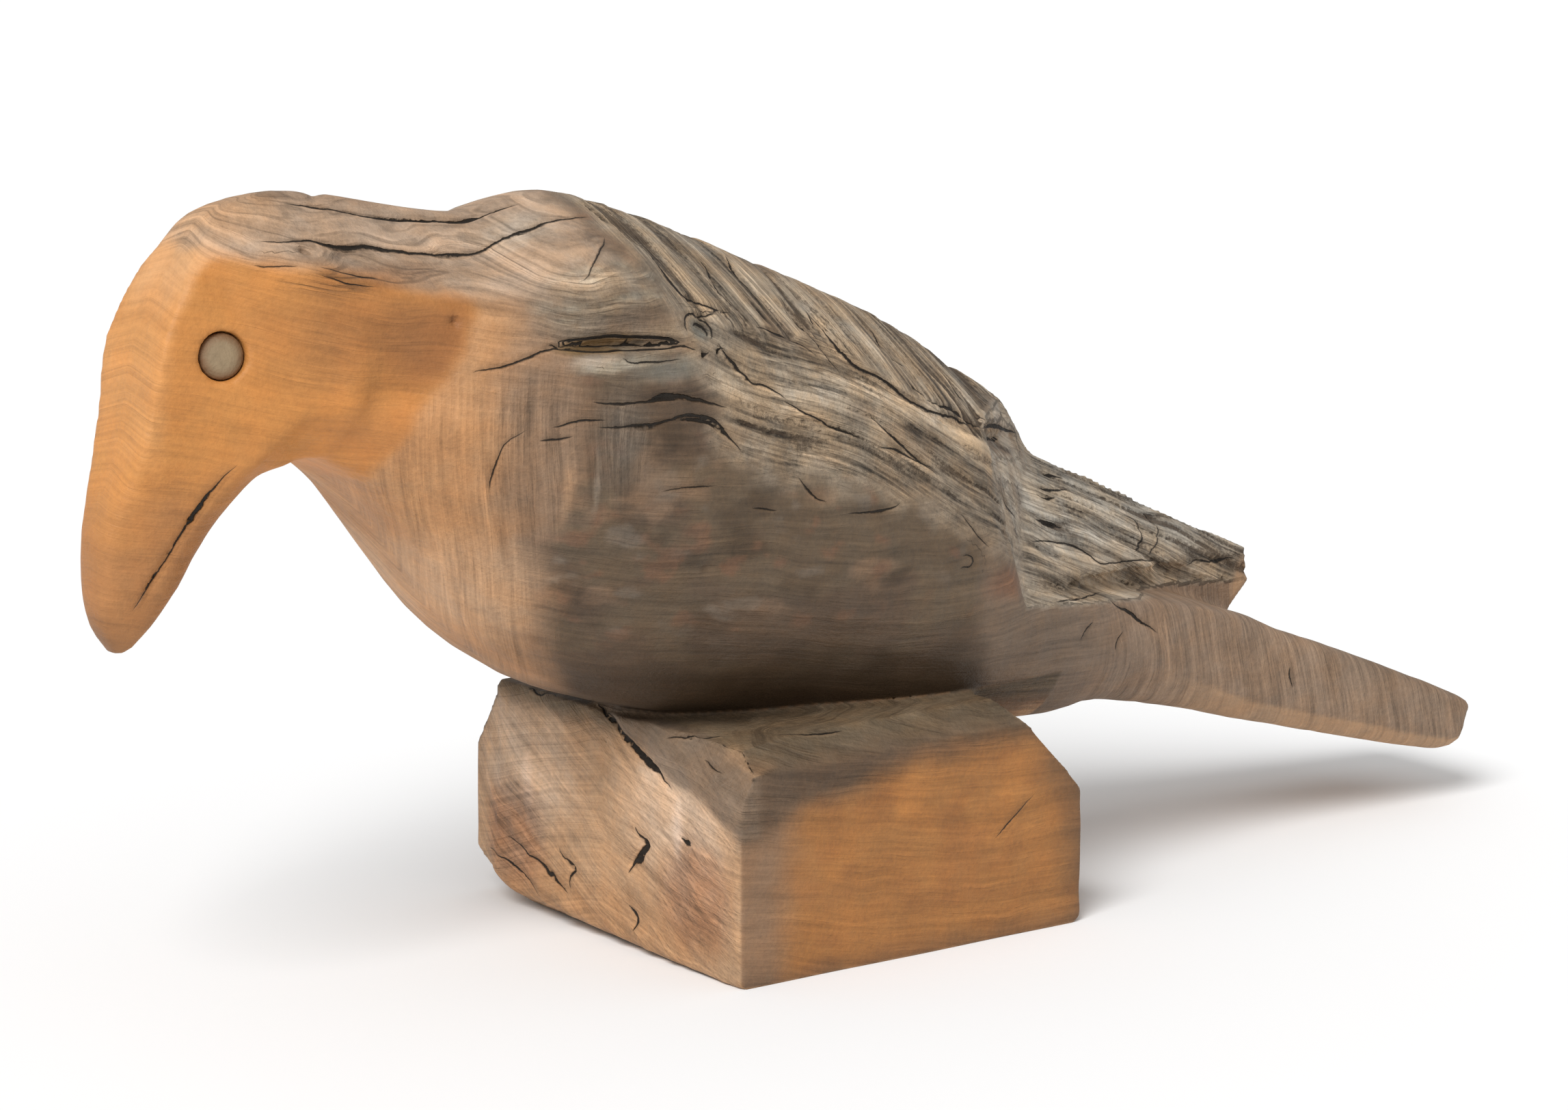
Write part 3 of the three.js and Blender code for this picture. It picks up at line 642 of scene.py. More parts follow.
COATS: Tuple[Coat, ...] = (
    Coat(Tone.UMBER, (), 1.0, 0.32, 0.12),
    Coat(Tone.OLIVE, (Cloudy(16, 71, -0.1, (1.6, 1, 1)),), 0.5),
    Coat(Tone.SOOT, (Cloudy(8, 72, 0.1, (2, 1, 1)), Border(2, ((-100, 80), (0, 80)), 8.0)), 0.5),
    Coat(Tone.FAWN, (Cloudy(6, 78, 0.2, (2, 1, 1)), Border(2, ((-100, 84), (0, 84)), 8.0)), 0.5),
    Coat(Tone.SLATE, (Cloudy(5, 79, 0.22, (2, 1, 1)), Border(2, ((-100, 80), (0, 80)), 8.0)), 0.7),
    Coat(Tone.BRICK, (Cloudy(5, 73, 0.25, (1.4, 1, 1)), Border(2, ((-100, 80), (0, 80)), 8.0)), 0.6),
    # painted shade: the flank darkened to near black towards the bottom, where the belly turns under above the block
    Coat(Tone.SOOT, (Border(2, ((-90, 72), (-30, 71), (20, 66), (60, 44)), 8.0, False),), 1.0, 0.14, 0.04),
    Coat(Tone.TAUPE, (Border(0, ((36, 34), (56, 31), (74, 25), (86, 26), (110, 30)), 4.0),), 0.9, 0.3, 0.1),
    Coat(Tone.TEA, (Border(0, ((0, 78), (80, 66)), 16.0),), 1.0, 0.4, 0.25),
    Coat(Tone.TAUPE, (Spot((184, -21, 40), (34, 12, 7), 0.2),), 0.7),
    # painted light: the tail's undersides lightened to sawn orange, standing in for light thrown up from the floor
    Coat(Tone.SAWN, (Border(0, ((0, 104), (80, 104)), 14.0), Facing((0, 0, -1), 0.25)), 0.8, 0.2, 0.1),
    Coat(Tone.FAWN, (Border(0, BREAST_EDGE, 5.0, False),), 1.0, 0.4, 0.15),
    Coat(Tone.CLAY, (Border(0, ORANGE_EDGE, 8.0, False),), 1.0, 0.3, 0.08),
    Coat(Tone.ROSE, (Spot((-98, -16, 92), (22, 24, 18)),), 0.9),
    Coat(Tone.FAWN, (Spot((-97, -38, 136), (13, 14, 12), 0.2),), 0.95, 0.5, 0.2),
    Coat(Tone.ROSE, (Spot((-88.5, -43, 116), (1.6, 8, 12), 0.2),), 0.35),
    Coat(Tone.CHALK, (Spot((-82.6, -44.5, 119), (0.9, 8, 10), 0.2),), 0.4),
    Coat(Tone.SLATE, (Spot((-76, -44, 128), (9, 8, 16), 0.3),), 0.7, 0.7, 0.4),
    Coat(Tone.CLAY, (Spot((-108, -34, 132), (9, 9, 22), 0.2),), 0.6),
    Coat(Tone.HONEY, (HEAD,), 1.0, 0.12, 0.06),
    Coat(Tone.AMBER, (Spot((-124, -24, 128), (15, 14, 12)), HEAD), 0.7),
    Coat(Tone.RUST, (Spot((-128, -25, 152), (34, 18, 17), 0.1), HEAD), 0.7, 0.2, 0.15),
    Coat(Tone.RUST, (Spot((-113, -30, 149), (17, 12, 12), 0.3), HEAD), 0.9),
    Coat(Tone.HORN, (Border(2, ((-200, 112), (-140, 122)), 12.0, False), Border(0, ((0, -146), (200, -146)), 6.0, False)), 0.95),
    Coat(Tone.UMBER, (Spot((-183, 0, 86), (9, 9, 12), 0.0),), 0.6),
    Coat(Tone.APRICOT, (Border(0, BROW_EDGE, 2.2, False), Border(2, ((-200, 126), (0, 126)), 14.0)), 0.9, 0.16, 0.1),
    Coat(Tone.PEACH, (Border(0, BROW_EDGE, 2.2, False), Spot((-164, -4, 172), (18, 12, 17), 0.3)), 0.85),
    Coat(Tone.DRIFT, (Border(2, NAPE_EDGE, 2.6), Border(0, ((0, -66), (200, -66)), 9.0, False)), 1.0, 0.45, 0.35),
    Coat(Tone.PEACH, (Spot((-150, 0, 176), (20, 14, 9), 0.2),), 0.5),
    Coat(Tone.FAWN, (Spot((-118, 0, 178), (34, 7, 5)),), 0.6),
    Coat(Tone.RUST, (Spot((-128, -24, 163.5), (28, 10, 3.2), 0.3),), 0.45, 0.5, 1.1),
    Coat(Tone.CHALK, (Spot((-84, -15, 170), (15, 9, 7)),), 0.8, 0.6, 0.5),
    Coat(Tone.KHAKI, (SHOULDER,), 0.9, 0.7, 0.4),
    Coat(Tone.OLIVE, (SHOULDER, Cloudy(6, 74, 0.1, (2.4, 1, 0.8))), 0.6),
    Coat(Tone.BONE, (SHOULDER, Cloudy(5, 75, 0.15, (3, 1, 0.5))), 0.6),
    Coat(Tone.TAUPE, (Spot((-66, -39, 150.5), (17, 10, 3.4), 0.4),), 0.9, 0.5, 0.1),
    Coat(Tone.BONE, (Spot((-66, -37, 155.6), (10, 8, 0.9), 0.4),), 0.7),
    Coat(Tone.SAND, (WINGS,), 1.0, 0.8, 0.4),
    Coat(Tone.TAUPE, (WINGS, Cloudy(14, 76, 0.1, (2, 1, 1))), 0.5),
    Coat(Tone.SILVER, (WINGS, Cloudy(10, 77, 0.15, (2, 1, 1))), 0.4),
    Coat(Tone.KHAKI, (WINGS, Border(2, ((-80, 132), (-40, 128), (0, 116), (40, 100)), 6.0, False)), 0.6),
    Coat(Tone.TAUPE, (WING_ENDS, ON_WING_ENDS), 0.8, 0.3, 0.3),
    Coat(Tone.SILVER, (WING_ENDS, ON_WING_ENDS, Cloudy(2.6, 81, 0.0, (1, 1, 7))), 0.8),
    Coat(Tone.SILVER, (TIPS,), 0.9, 0.8, 0.5),
    Coat(Tone.SAND, (TIPS, Border(2, ((40, 84), (142, 68)), 5.0, False)), 0.8),
    Coat(Tone.SAWN, (Spot((141, -5, 58), (6, 8, 9), 0.7),), 0.95, 0.15, 0.0),
    Coat(Tone.BRICK, (Spot((33, -42, 80), (12, 8, 5)),), 0.8),
    Coat(Tone.BRONZE, (Spot((-78, -42, 146.6), (14, 6, 2.0), 0.7),), 0.95, 0.3, 0.0),
    Coat(Tone.BONE, (Spot((-76, -43, 142.4), (13, 6, 2.0), 0.5),), 0.95, 0.5, 0.1),
    Coat(Tone.CHALK, (Spot((-82, -43, 143.8), (7, 6, 1.4), 0.5),), 0.8),
    Coat(Tone.MOSS, (Spot((-62, -43, 139.6), (12, 6, 3.4)),), 0.8),
    Coat(Tone.MOSS, (Spot((-50, -38.5, 146.5), (3.6, 4, 3.6)),), 0.9),
    # painted shade: near black inside the holes at the nape and the neck
    Coat(Tone.PITCH, (Spot((-138.4, -16.9, 170.1), (1.3, 1.6, 1.3), 0.6, False),), 0.95),
    Coat(Tone.PITCH, (Spot((-110, -31.1, 153.6), (1.1, 1.4, 1.1), 0.6, False),), 0.9),
    Coat(Tone.SAWN, (ON_BLOCK,), 1.0, 0.45, 0.25),
    Coat(Tone.CREAM, (ON_BLOCK, BLOCK_FRONT, Spot((-50, 30, 36), (8, 26, 20))), 0.8),
    # painted highlight: a pale narrow strip down the block's front, along the edge to its chamfer
    Coat(Tone.PEARL, (ON_BLOCK, BLOCK_FRONT, Spot((-50, 29, 32), (8, 2.6, 9), 0.3)), 0.9),
    Coat(Tone.OCHRE, (ON_BLOCK, BLOCK_FRONT, Spot((-50, -8, 6), (8, 44, 10))), 0.35),
    Coat(Tone.PLUM, (ON_BLOCK, BLOCK_FRONT, Spot((-50, -36, 18), (8, 16, 15), 0.4)), 0.7, 0.7, 0.6),
    Coat(Tone.OCHRE, (ON_BLOCK, SAWN_SIDE), 1.0, 0.2, 0.08),
    Coat(Tone.RUST, (ON_BLOCK, SAWN_SIDE, Cloudy(6, 83, 0.1, (2, 1, 1))), 0.4),
    Coat(Tone.HONEY, (ON_BLOCK, SAWN_SIDE, Cloudy(9, 84, 0.1, (1.6, 1, 1)), Spot((4, -52, 28), (34, 8, 22))), 0.35),
    Coat(Tone.FAWN, (ON_BLOCK, SAWN_SIDE, Border(0, ((0, -38), (60, -32)), 7.0, False)), 0.85),
    # painted shade: the block's sawn side darkened towards its rounded right end
    Coat(Tone.UMBER, (ON_BLOCK, SAWN_SIDE, Border(0, ((0, 46), (30, 42), (54, 32)), 7.0)), 0.7),
    # painted shade: the foot of the block's sawn side darkened where it meets the floor
    Coat(Tone.UMBER, (ON_BLOCK, SAWN_SIDE, Border(2, ((-60, 2), (60, 4)), 3.0, False)), 0.5),
    # painted shade: the top of the block's sides darkened under the overhanging belly
    Coat(Tone.UMBER, (ON_BLOCK, Border(2, BELLY_SHADE_EDGE, 5.0), Facing((0, -1, 0), 0.3, True)), 0.95, 0.4, 0.2),
    # painted shade: the top of the block darkened under the bird's body
    Coat(Tone.OLIVE, (ON_BLOCK, Border(2, ((-60, 50), (60, 50)), 3.0)), 0.9, 0.5, 0.4),
    Coat(Tone.TAUPE, (ON_BLOCK, Border(0, ((0, -44), (60, -44)), 2.0, False), Border(2, BEVEL_EDGE, 1.4, True, 1)), 0.9, 0.4, 0.2),
)


# The meshes


@dataclass
class Surface:
    """The points of a mesh in millimetres, with what is known at each.

    Attributes:
        points: places.
        normals: which way the surface faces.
        ragged: noise that roughens the edges of areas.
    """

    points: np.ndarray
    normals: np.ndarray
    ragged: np.ndarray

    @classmethod
    def of(cls, mesh: bpy.types.Mesh) -> "Surface":
        """Reads a mesh."""
        count = len(mesh.vertices)
        points = np.zeros(count * 3, np.float32)
        normals = np.zeros(count * 3, np.float32)
        mesh.vertices.foreach_get("co", points)
        mesh.vertex_normals.foreach_get("vector", normals)
        places = points.reshape(-1, 3).astype(float) / MM
        return cls(places, normals.reshape(-1, 3).astype(float), cloud(places, 9.0, 61, 3))

    def mirrored(self) -> "Surface":
        """The same surface seen in the middle plane, where the far side lies on the near one."""
        flip = np.array([1.0, -1.0, 1.0])
        return Surface(self.points * flip, self.normals * flip, self.ragged)

    def near_line(self, split: Split) -> Tuple[np.ndarray, np.ndarray, np.ndarray, np.ndarray]:
        """How the surface lies about a split.

        Args:
            split: the crack or groove.

        Returns:
            The points it reaches, their signed distance from it along the surface, how open it is there
            from 0 to 1, and how far along it they lie.
        """
        reach = 9.0
        path = smooth_path(split.path, 1.6)
        seed = sum(ord(letter) for letter in split.name)
        path = path + split.wild * np.stack([lattice_noise(path / 2.6, seed + k) for k in range(3)], axis=1)
        low, high = path.min(0) - reach, path.max(0) + reach
        picked = np.nonzero(((self.points > low) & (self.points < high)).all(1))[0]
        a, b = path[:-1], path[1:]
        lengths = np.linalg.norm(b - a, axis=1)
        starts = np.concatenate([[0.0], np.cumsum(lengths)[:-1]])
        total = lengths.sum()
        side = np.full(len(picked), 99.0)
        best = np.full(len(picked), 99.0)
        place = np.zeros(len(picked))
        p, n = self.points[picked], self.normals[picked]
        for i in range(len(a)):
            way = (b[i] - a[i]) / lengths[i]
            along = np.clip((p - a[i]) @ way, 0.0, lengths[i])
            off = p - a[i] - along[:, None] * way
            lift = (off * n).sum(1)
            flat = off - lift[:, None] * n
            distance = np.linalg.norm(flat, axis=1) + np.maximum(np.abs(lift) - 4.0, 0.0)
            closer = distance < best
            turn = np.sign((np.cross(way, flat) * n).sum(1))
            best = np.where(closer, distance, best)
            side = np.where(closer, distance * np.where(turn == 0, 1, turn), side)
            place = np.where(closer, (starts[i] + along) / total, place)
        fade = min(0.45, 12.0 / total)
        open_share = ramp(place, -0.02, fade) * ramp(place, 1.02, 1.0 - fade)
        ragged = 1.0 + 0.5 * lattice_noise(np.stack([place * total / 7.0, place * 0, place * 0], 1), seed)
        open_share = open_share * ragged * (best < reach)
        return picked, side, open_share, place


def shape_share(surface: Surface, at: Point, reach: Point, both: bool) -> np.ndarray:
    """How far outside an ellipsoid each point lies, in shares of its reach."""
    p = surface.points
    if both and at[1] != 0:
        p = np.stack([p[:, 0], -np.abs(p[:, 1]) * math.copysign(1.0, -at[1]), p[:, 2]], 1)
    return np.linalg.norm((p - np.array(at)) / np.array(reach), axis=1)


@dataclass
class Grain:
    """Which way the fibres run over the surface, as three systems of lines.

    Attributes:
        points: the surface's points.
        across: distance over the fibres, in millimetres, one column a system.
        along: distance with the fibres.
        amount: how much of each system shows.
        weathered: where sun and rain have split the wood, from 0 to 1.
    """

    points: np.ndarray
    across: np.ndarray
    along: np.ndarray
    amount: np.ndarray
    weathered: np.ndarray

    @classmethod
    def over(cls, surface: Surface) -> "Grain":
        """Lays the fibres over a surface.

        Args:
            surface: the carving's points.

        Returns:
            The systems: wings and back, level wood of head, neck and flank, upright wood of breast, tail and block.
        """
        p = surface.points
        x, y, z = p.T
        side = np.abs(y)
        block = ON_BLOCK.share(surface)
        tips = TIPS.share(surface)
        feathers = WINGS.share(surface) * (1 - tips) * (1 - block)
        slashes = feathers * SLASHES.share(surface)
        wings = feathers - slashes
        tail = ramp(x, 58.0, 84.0) * (1 - tips)
        breast = Border(0, BREAST_EDGE, 8.0, False).share(surface) * (1 - HEAD.share(surface)) * ramp(z, 152.0, 128.0)
        breast = np.maximum(breast, Spot((-78, -44, 124), (12, 9, 16)).share(surface))
        front = block * ramp(-surface.normals[:, 0], 0.5, 0.8)
        back_across = 0.45 * x + 0.85 * z + 5.0 * cloud(p, 60.0, 5)
        slash_across = 0.9 * x - 0.13 * side + 0.13 * z + 5.0 * cloud(p, 38.0, 7)
        level_across = z + 0.1 * x + 0.25 * side + 5.0 * cloud(p, 60.0, 9) + 1.2 * cloud(p, 14.0, 10)
        tips_across = z + 0.462 * (x - 74) + 2.2 * cloud(p, 20.0, 13)
        tail_across = 0.97 * x + 0.22 * z + 0.8 * cloud(p, 24.0, 15)
        front_across = 0.86 * z - 0.5 * y + 3.0 * cloud(p, 18.0, 17)
        breast_across = 0.76 * x + 0.65 * side + 3.0 * cloud(p, 40.0, 19)
        choose = [tips > 0.5, block > 0.5, slashes > 0.02, x > 30]
        upright_across = np.select(choose, [tips_across, front_across, slash_across, tail_across], breast_across)
        upright_along = np.select(choose[:2], [x, y], z)
        across = np.stack([back_across, level_across, upright_across], 1)
        along = np.stack([0.88 * x - 0.47 * z, x + 0.3 * z, upright_along], 1)
        third = np.max([tips, slashes, (1 - feathers) * np.max([tail * 0.85, front * 0.55, breast * 0.9], axis=0)], axis=0)
        level = (1 - feathers) * (1 - third)
        amount = np.clip(np.stack([wings, level, third], 1), 0, 1)
        return cls(p, across, along, amount, np.maximum(feathers, tips))

    def split(self, system: int, pitch: float, length: float, seed: int) -> Tuple[np.ndarray, np.ndarray]:
        """Splinters along the fibres of one system."""
        return splinters(self.across[:, system], self.along[:, system], pitch, length, seed)

    def bands(self, system: int, pitch: float, length: float, seed: int) -> np.ndarray:
        """Noise from -1 to 1 that is drawn out along the fibres of one system."""
        across, along = self.across[:, system] / pitch, self.along[:, system] / length
        return lattice_noise(np.stack([across, along, 0 * along + 0.37 * seed], 1), seed)


def valleys(bands: np.ndarray, width: float) -> np.ndarray:
    """Narrow V grooves, from 0 to 1, where the bands cross 0."""
    return 1.0 - np.minimum(1.0, np.abs(bands) / width)


@dataclass
class CarvedBird:
    """The bird and its block, one piece of timber.

    Attributes:
        node: the solid it stands for.
        voxel: mesh spacing in millimetres.
        unevenness: how far the knife left the surface off true.
        groove: depth of the weathered grooves on the wings.
        crack_depth: share of a crack's depth that the mesh carries.
        narrowest: least half width that the mesh can carry.
    """

    node: str = "carved_bird_on_block"
    voxel: float = 0.98
    unevenness: float = 0.3
    groove: float = 0.7
    crack_depth: float = 0.6
    narrowest: float = 0.8
    triangle_limit: int = 192000
    seen: List[str] = field(default_factory=list)

    def build(self, frame: Dict[str, Any]) -> bpy.types.Object:
        """Makes the carving, in place and dressed.

        Args:
            frame: what the loaded frame holds.

        Returns:
            The finished object.
        """
        obj = self.copy_of(frame["nodes"][self.node])
        self.remesh(obj)
        self.carve(obj)
        self.thin(obj)
        self.record(obj)
        bpy.ops.object.shade_smooth()
        return obj

    def copy_of(self, node: bpy.types.Object) -> bpy.types.Object:
        """A merged copy of the solid, selected and active."""
        bpy.ops.object.select_all(action="DESELECT")
        node.select_set(True)
        bpy.context.view_layer.objects.active = node
        bpy.ops.object.duplicate()
        obj = bpy.context.object
        obj.name = "carved_bird"
        obj.parent = None
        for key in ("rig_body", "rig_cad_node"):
            if key in obj:
                del obj[key]
        bpy.ops.object.mode_set(mode="EDIT")
        bpy.ops.mesh.select_all(action="SELECT")
        bpy.ops.mesh.remove_doubles(threshold=1e-6)
        bpy.ops.object.mode_set(mode="OBJECT")
        return obj

    def remesh(self, obj: bpy.types.Object) -> None:
        """Gives the copy an even fine mesh and eases the saw-cut edges."""
        even = obj.modifiers.new("even mesh", "REMESH")
        even.mode = "VOXEL"
        even.voxel_size = self.voxel * MM
        bpy.ops.object.modifier_apply(modifier=even.name)
        ease = obj.modifiers.new("worn edges", "SMOOTH")
        ease.factor = 0.5
        ease.iterations = 2
        bpy.ops.object.modifier_apply(modifier=ease.name)

    def carve(self, obj: bpy.types.Object) -> None:
        """Moves the surface in and out for cracks, hollows, grooves and knife marks."""
        surface = Surface.of(obj.data)
        lift = self.knife_marks(surface)
        for dent in DENTS:
            share = shape_share(surface, dent.at, dent.reach, dent.both)
            lift -= dent.depth * np.exp(-(share**2))
        for split in SPLITS:
            for looked in (surface, surface.mirrored())[: 2 if split.both else 1]:
                picked, side, open_share, _ = looked.near_line(split)
                width = max(split.half, self.narrowest)
                lift[picked] -= self.crack_depth * split.depth * open_share * np.exp(-((side / width) ** 2))
                if split.drop:
                    lower = ramp(side, 0.0, -1.0) * ramp(-side, 8.0, 1.0)
                    lift[picked] -= split.drop * open_share * lower
        points = surface.points + surface.normals * lift[:, None]
        points[:, 2] = np.maximum(points[:, 2], 0.0)
        obj.data.vertices.foreach_set("co", (points * MM).astype(np.float32).ravel())
        obj.data.update()

    def knife_marks(self, surface: Surface) -> np.ndarray:
        """How far the tool and the weather left each point above the true form."""
        grain = Grain.over(surface)
        p = surface.points
        edge, height, _ = self.weather(grain)
        lift = self.unevenness * cloud(p, 22.0, 41)
        lift += self.groove * (0.55 * height - ramp(edge, 0.9, 0.0))
        lift += 0.16 * grain.amount[:, 1] * grain.bands(1, 5.0, 26.0, 45)
        upright = grain.amount[:, 2] * (p[:, 2] < 150)
        lift += 0.14 * upright * grain.bands(2, 3.4, 40.0, 47)
        front = ON_BLOCK.share(surface) * ramp(-surface.normals[:, 0], 0.4, 0.8) * ramp(np.abs(p[:, 1]), 51.0, 44.0)
        hewn = np.stack([grain.across[:, 2] / 2.6, grain.along[:, 2] / 8.0, 0 * p[:, 2]], 1)
        lift += 0.45 * front * lattice_noise(hewn, 53) * (1.0 + ramp(p[:, 1] - 1.1 * p[:, 2], -20.0, 12.0))
        lift += 0.3 * front * cloud(p, 7.0, 55)
        return lift

    def weather(self, grain: Grain) -> Tuple[np.ndarray, np.ndarray, np.ndarray]:
        """How the wood of wings and wing tips has split.

        Args:
            grain: the fibres over the surface.

        Returns:
            The distance from the nearest split in millimetres, the height of each splinter from -1 to 1, and
            how weathered the place is from 0 to 1.
        """
        back, third = grain.amount[:, 0], grain.amount[:, 2]
        high = grain.points[:, 2] > 56
        slashed = third * high * (grain.points[:, 0] < 72)
        tips = third * high * wing_end_side(grain.points)
        parts = []
        for system, amount, pitch, length, seed in (
            (0, back, 5.0, 62.0, 43),
            (2, slashed * (1 - tips), 6.5, 55.0, 53),
            (2, tips, 4.2, 60.0, 63),
        ):
            coarse, edge = grain.split(system, pitch, length, seed)
            fine, near = grain.split(system, pitch * 0.45, length * 0.5, seed + 5)
            faint = 1.1 * ramp(grain.bands(system, pitch * 1.4, length * 0.6, seed + 9), -0.2, 0.3)
            edge = np.minimum(edge + faint, near + 0.25 + 0.8 * ramp(grain.bands(system, 3.0, 20.0, seed + 8), -0.4, 0.2))
            parts.append((amount, np.minimum(edge, 2.0), 0.65 * coarse + 0.35 * fine))
        weathered = np.clip(sum(amount for amount, _, _ in parts) * grain.weathered, 0, 1)
        edge = 2.0 - sum(amount * (2.0 - edge) for amount, edge, _ in parts) * (weathered > 0)
        height = sum(amount * number for amount, _, number in parts)
        return np.clip(edge + 2.0 * (1 - weathered), 0, 3), height * weathered, weathered

    def thin(self, obj: bpy.types.Object) -> None:
        """Thins the mesh on the sides that show least until it is under the limit."""
        obj.data.calc_loop_triangles()
        triangles = len(obj.data.loop_triangles)
        LOG.info("carving has %d triangles before thinning", triangles)
        if triangles <= self.triangle_limit:
            return
        group = obj.vertex_groups.new(name="thin here")
        surface = Surface.of(obj.data)
        view = np.array([-0.595, -0.777, 0.204])
        facing = surface.normals @ view
        hidden = np.nonzero(facing < -0.05)[0]
        group.add([int(i) for i in hidden], 1.0, "REPLACE")
        thin = obj.modifiers.new("thin", "DECIMATE")
        thin.ratio = self.triangle_limit / triangles
        thin.vertex_group = group.name
        thin.vertex_group_factor = 1.0
        bpy.ops.object.modifier_apply(modifier=thin.name)
        obj.vertex_groups.clear()
        obj.data.calc_loop_triangles()
        LOG.info("carving has %d triangles", len(obj.data.loop_triangles))

    def record(self, obj: bpy.types.Object) -> None:
        """Writes what the finish reads: tones, fibres and cracks, as attributes of the points."""
        surface = Surface.of(obj.data)
        grain = Grain.over(surface)
        for i, name in enumerate(("fibre_back", "fibre_level", "fibre_upright")):
            write(obj.data, name, np.stack([grain.across[:, i], grain.along[:, i], grain.amount[:, i]], 1))
        side, width = self.lines(surface)
        write(obj.data, "crack_side", side)
        write(obj.data, "crack_width", width)
        tone, feel = self.tones(surface)
        write(obj.data, "tone", tone)
        write(obj.data, "feel", feel)
        write(obj.data, "worn", np.stack(self.weather(grain), 1))

    def lines(self, surface: Surface) -> Tuple[np.ndarray, np.ndarray]:
        """Signed distance from the nearest crack of each channel, and its half width there."""
        count = len(surface.points)
        side = np.full((count, 3), 6.0)
        width = np.zeros((count, 3))
        closest = np.full((count, 3), 99.0)
        for split in SPLITS:
            for looked in (surface, surface.mirrored())[: 2 if split.both else 1]:
                picked, off, open_share, _ = looked.near_line(split)
                near = np.abs(off) < 5.0
                picked, off, open_share = picked[near], off[near], open_share[near]
                c = split.channel
                closer = np.abs(off) < closest[picked, c]
                picked, off, open_share = picked[closer], off[closer], open_share[closer]
                closest[picked, c] = np.abs(off)
                side[picked, c] = off
                width[picked, c] = split.half * open_share * ramp(np.abs(off), 4.5, 3.0)
        return side, width

    def tones(self, surface: Surface) -> Tuple[np.ndarray, np.ndarray]:
        """The timber's tone at each point, with the painted shade and painted light that some coats carry, and how much
        streak and hairline there is.
        """
        count = len(surface.points)
        tone, feel = np.zeros((count, 3)), np.zeros((count, 3))
        for coat in COATS:
            cover = np.full(count, coat.cover)
            for area in coat.areas:
                cover = cover * area.share(surface)
            tone += cover[:, None] * (np.array(coat.tone.value) - tone)
            for i, value in enumerate((coat.streak, coat.hair)):
                if value >= 0:
                    feel[:, i] += cover * (value - feel[:, i])
        return tone, feel


def write(mesh: bpy.types.Mesh, name: str, rows: np.ndarray) -> None:
    """Keeps three numbers for each point of a mesh under a name."""
    attribute = mesh.attributes.new(name, "FLOAT_VECTOR", "POINT")
    attribute.data.foreach_set("vector", rows.astype(np.float32).ravel())


# Shader nodes as expressions


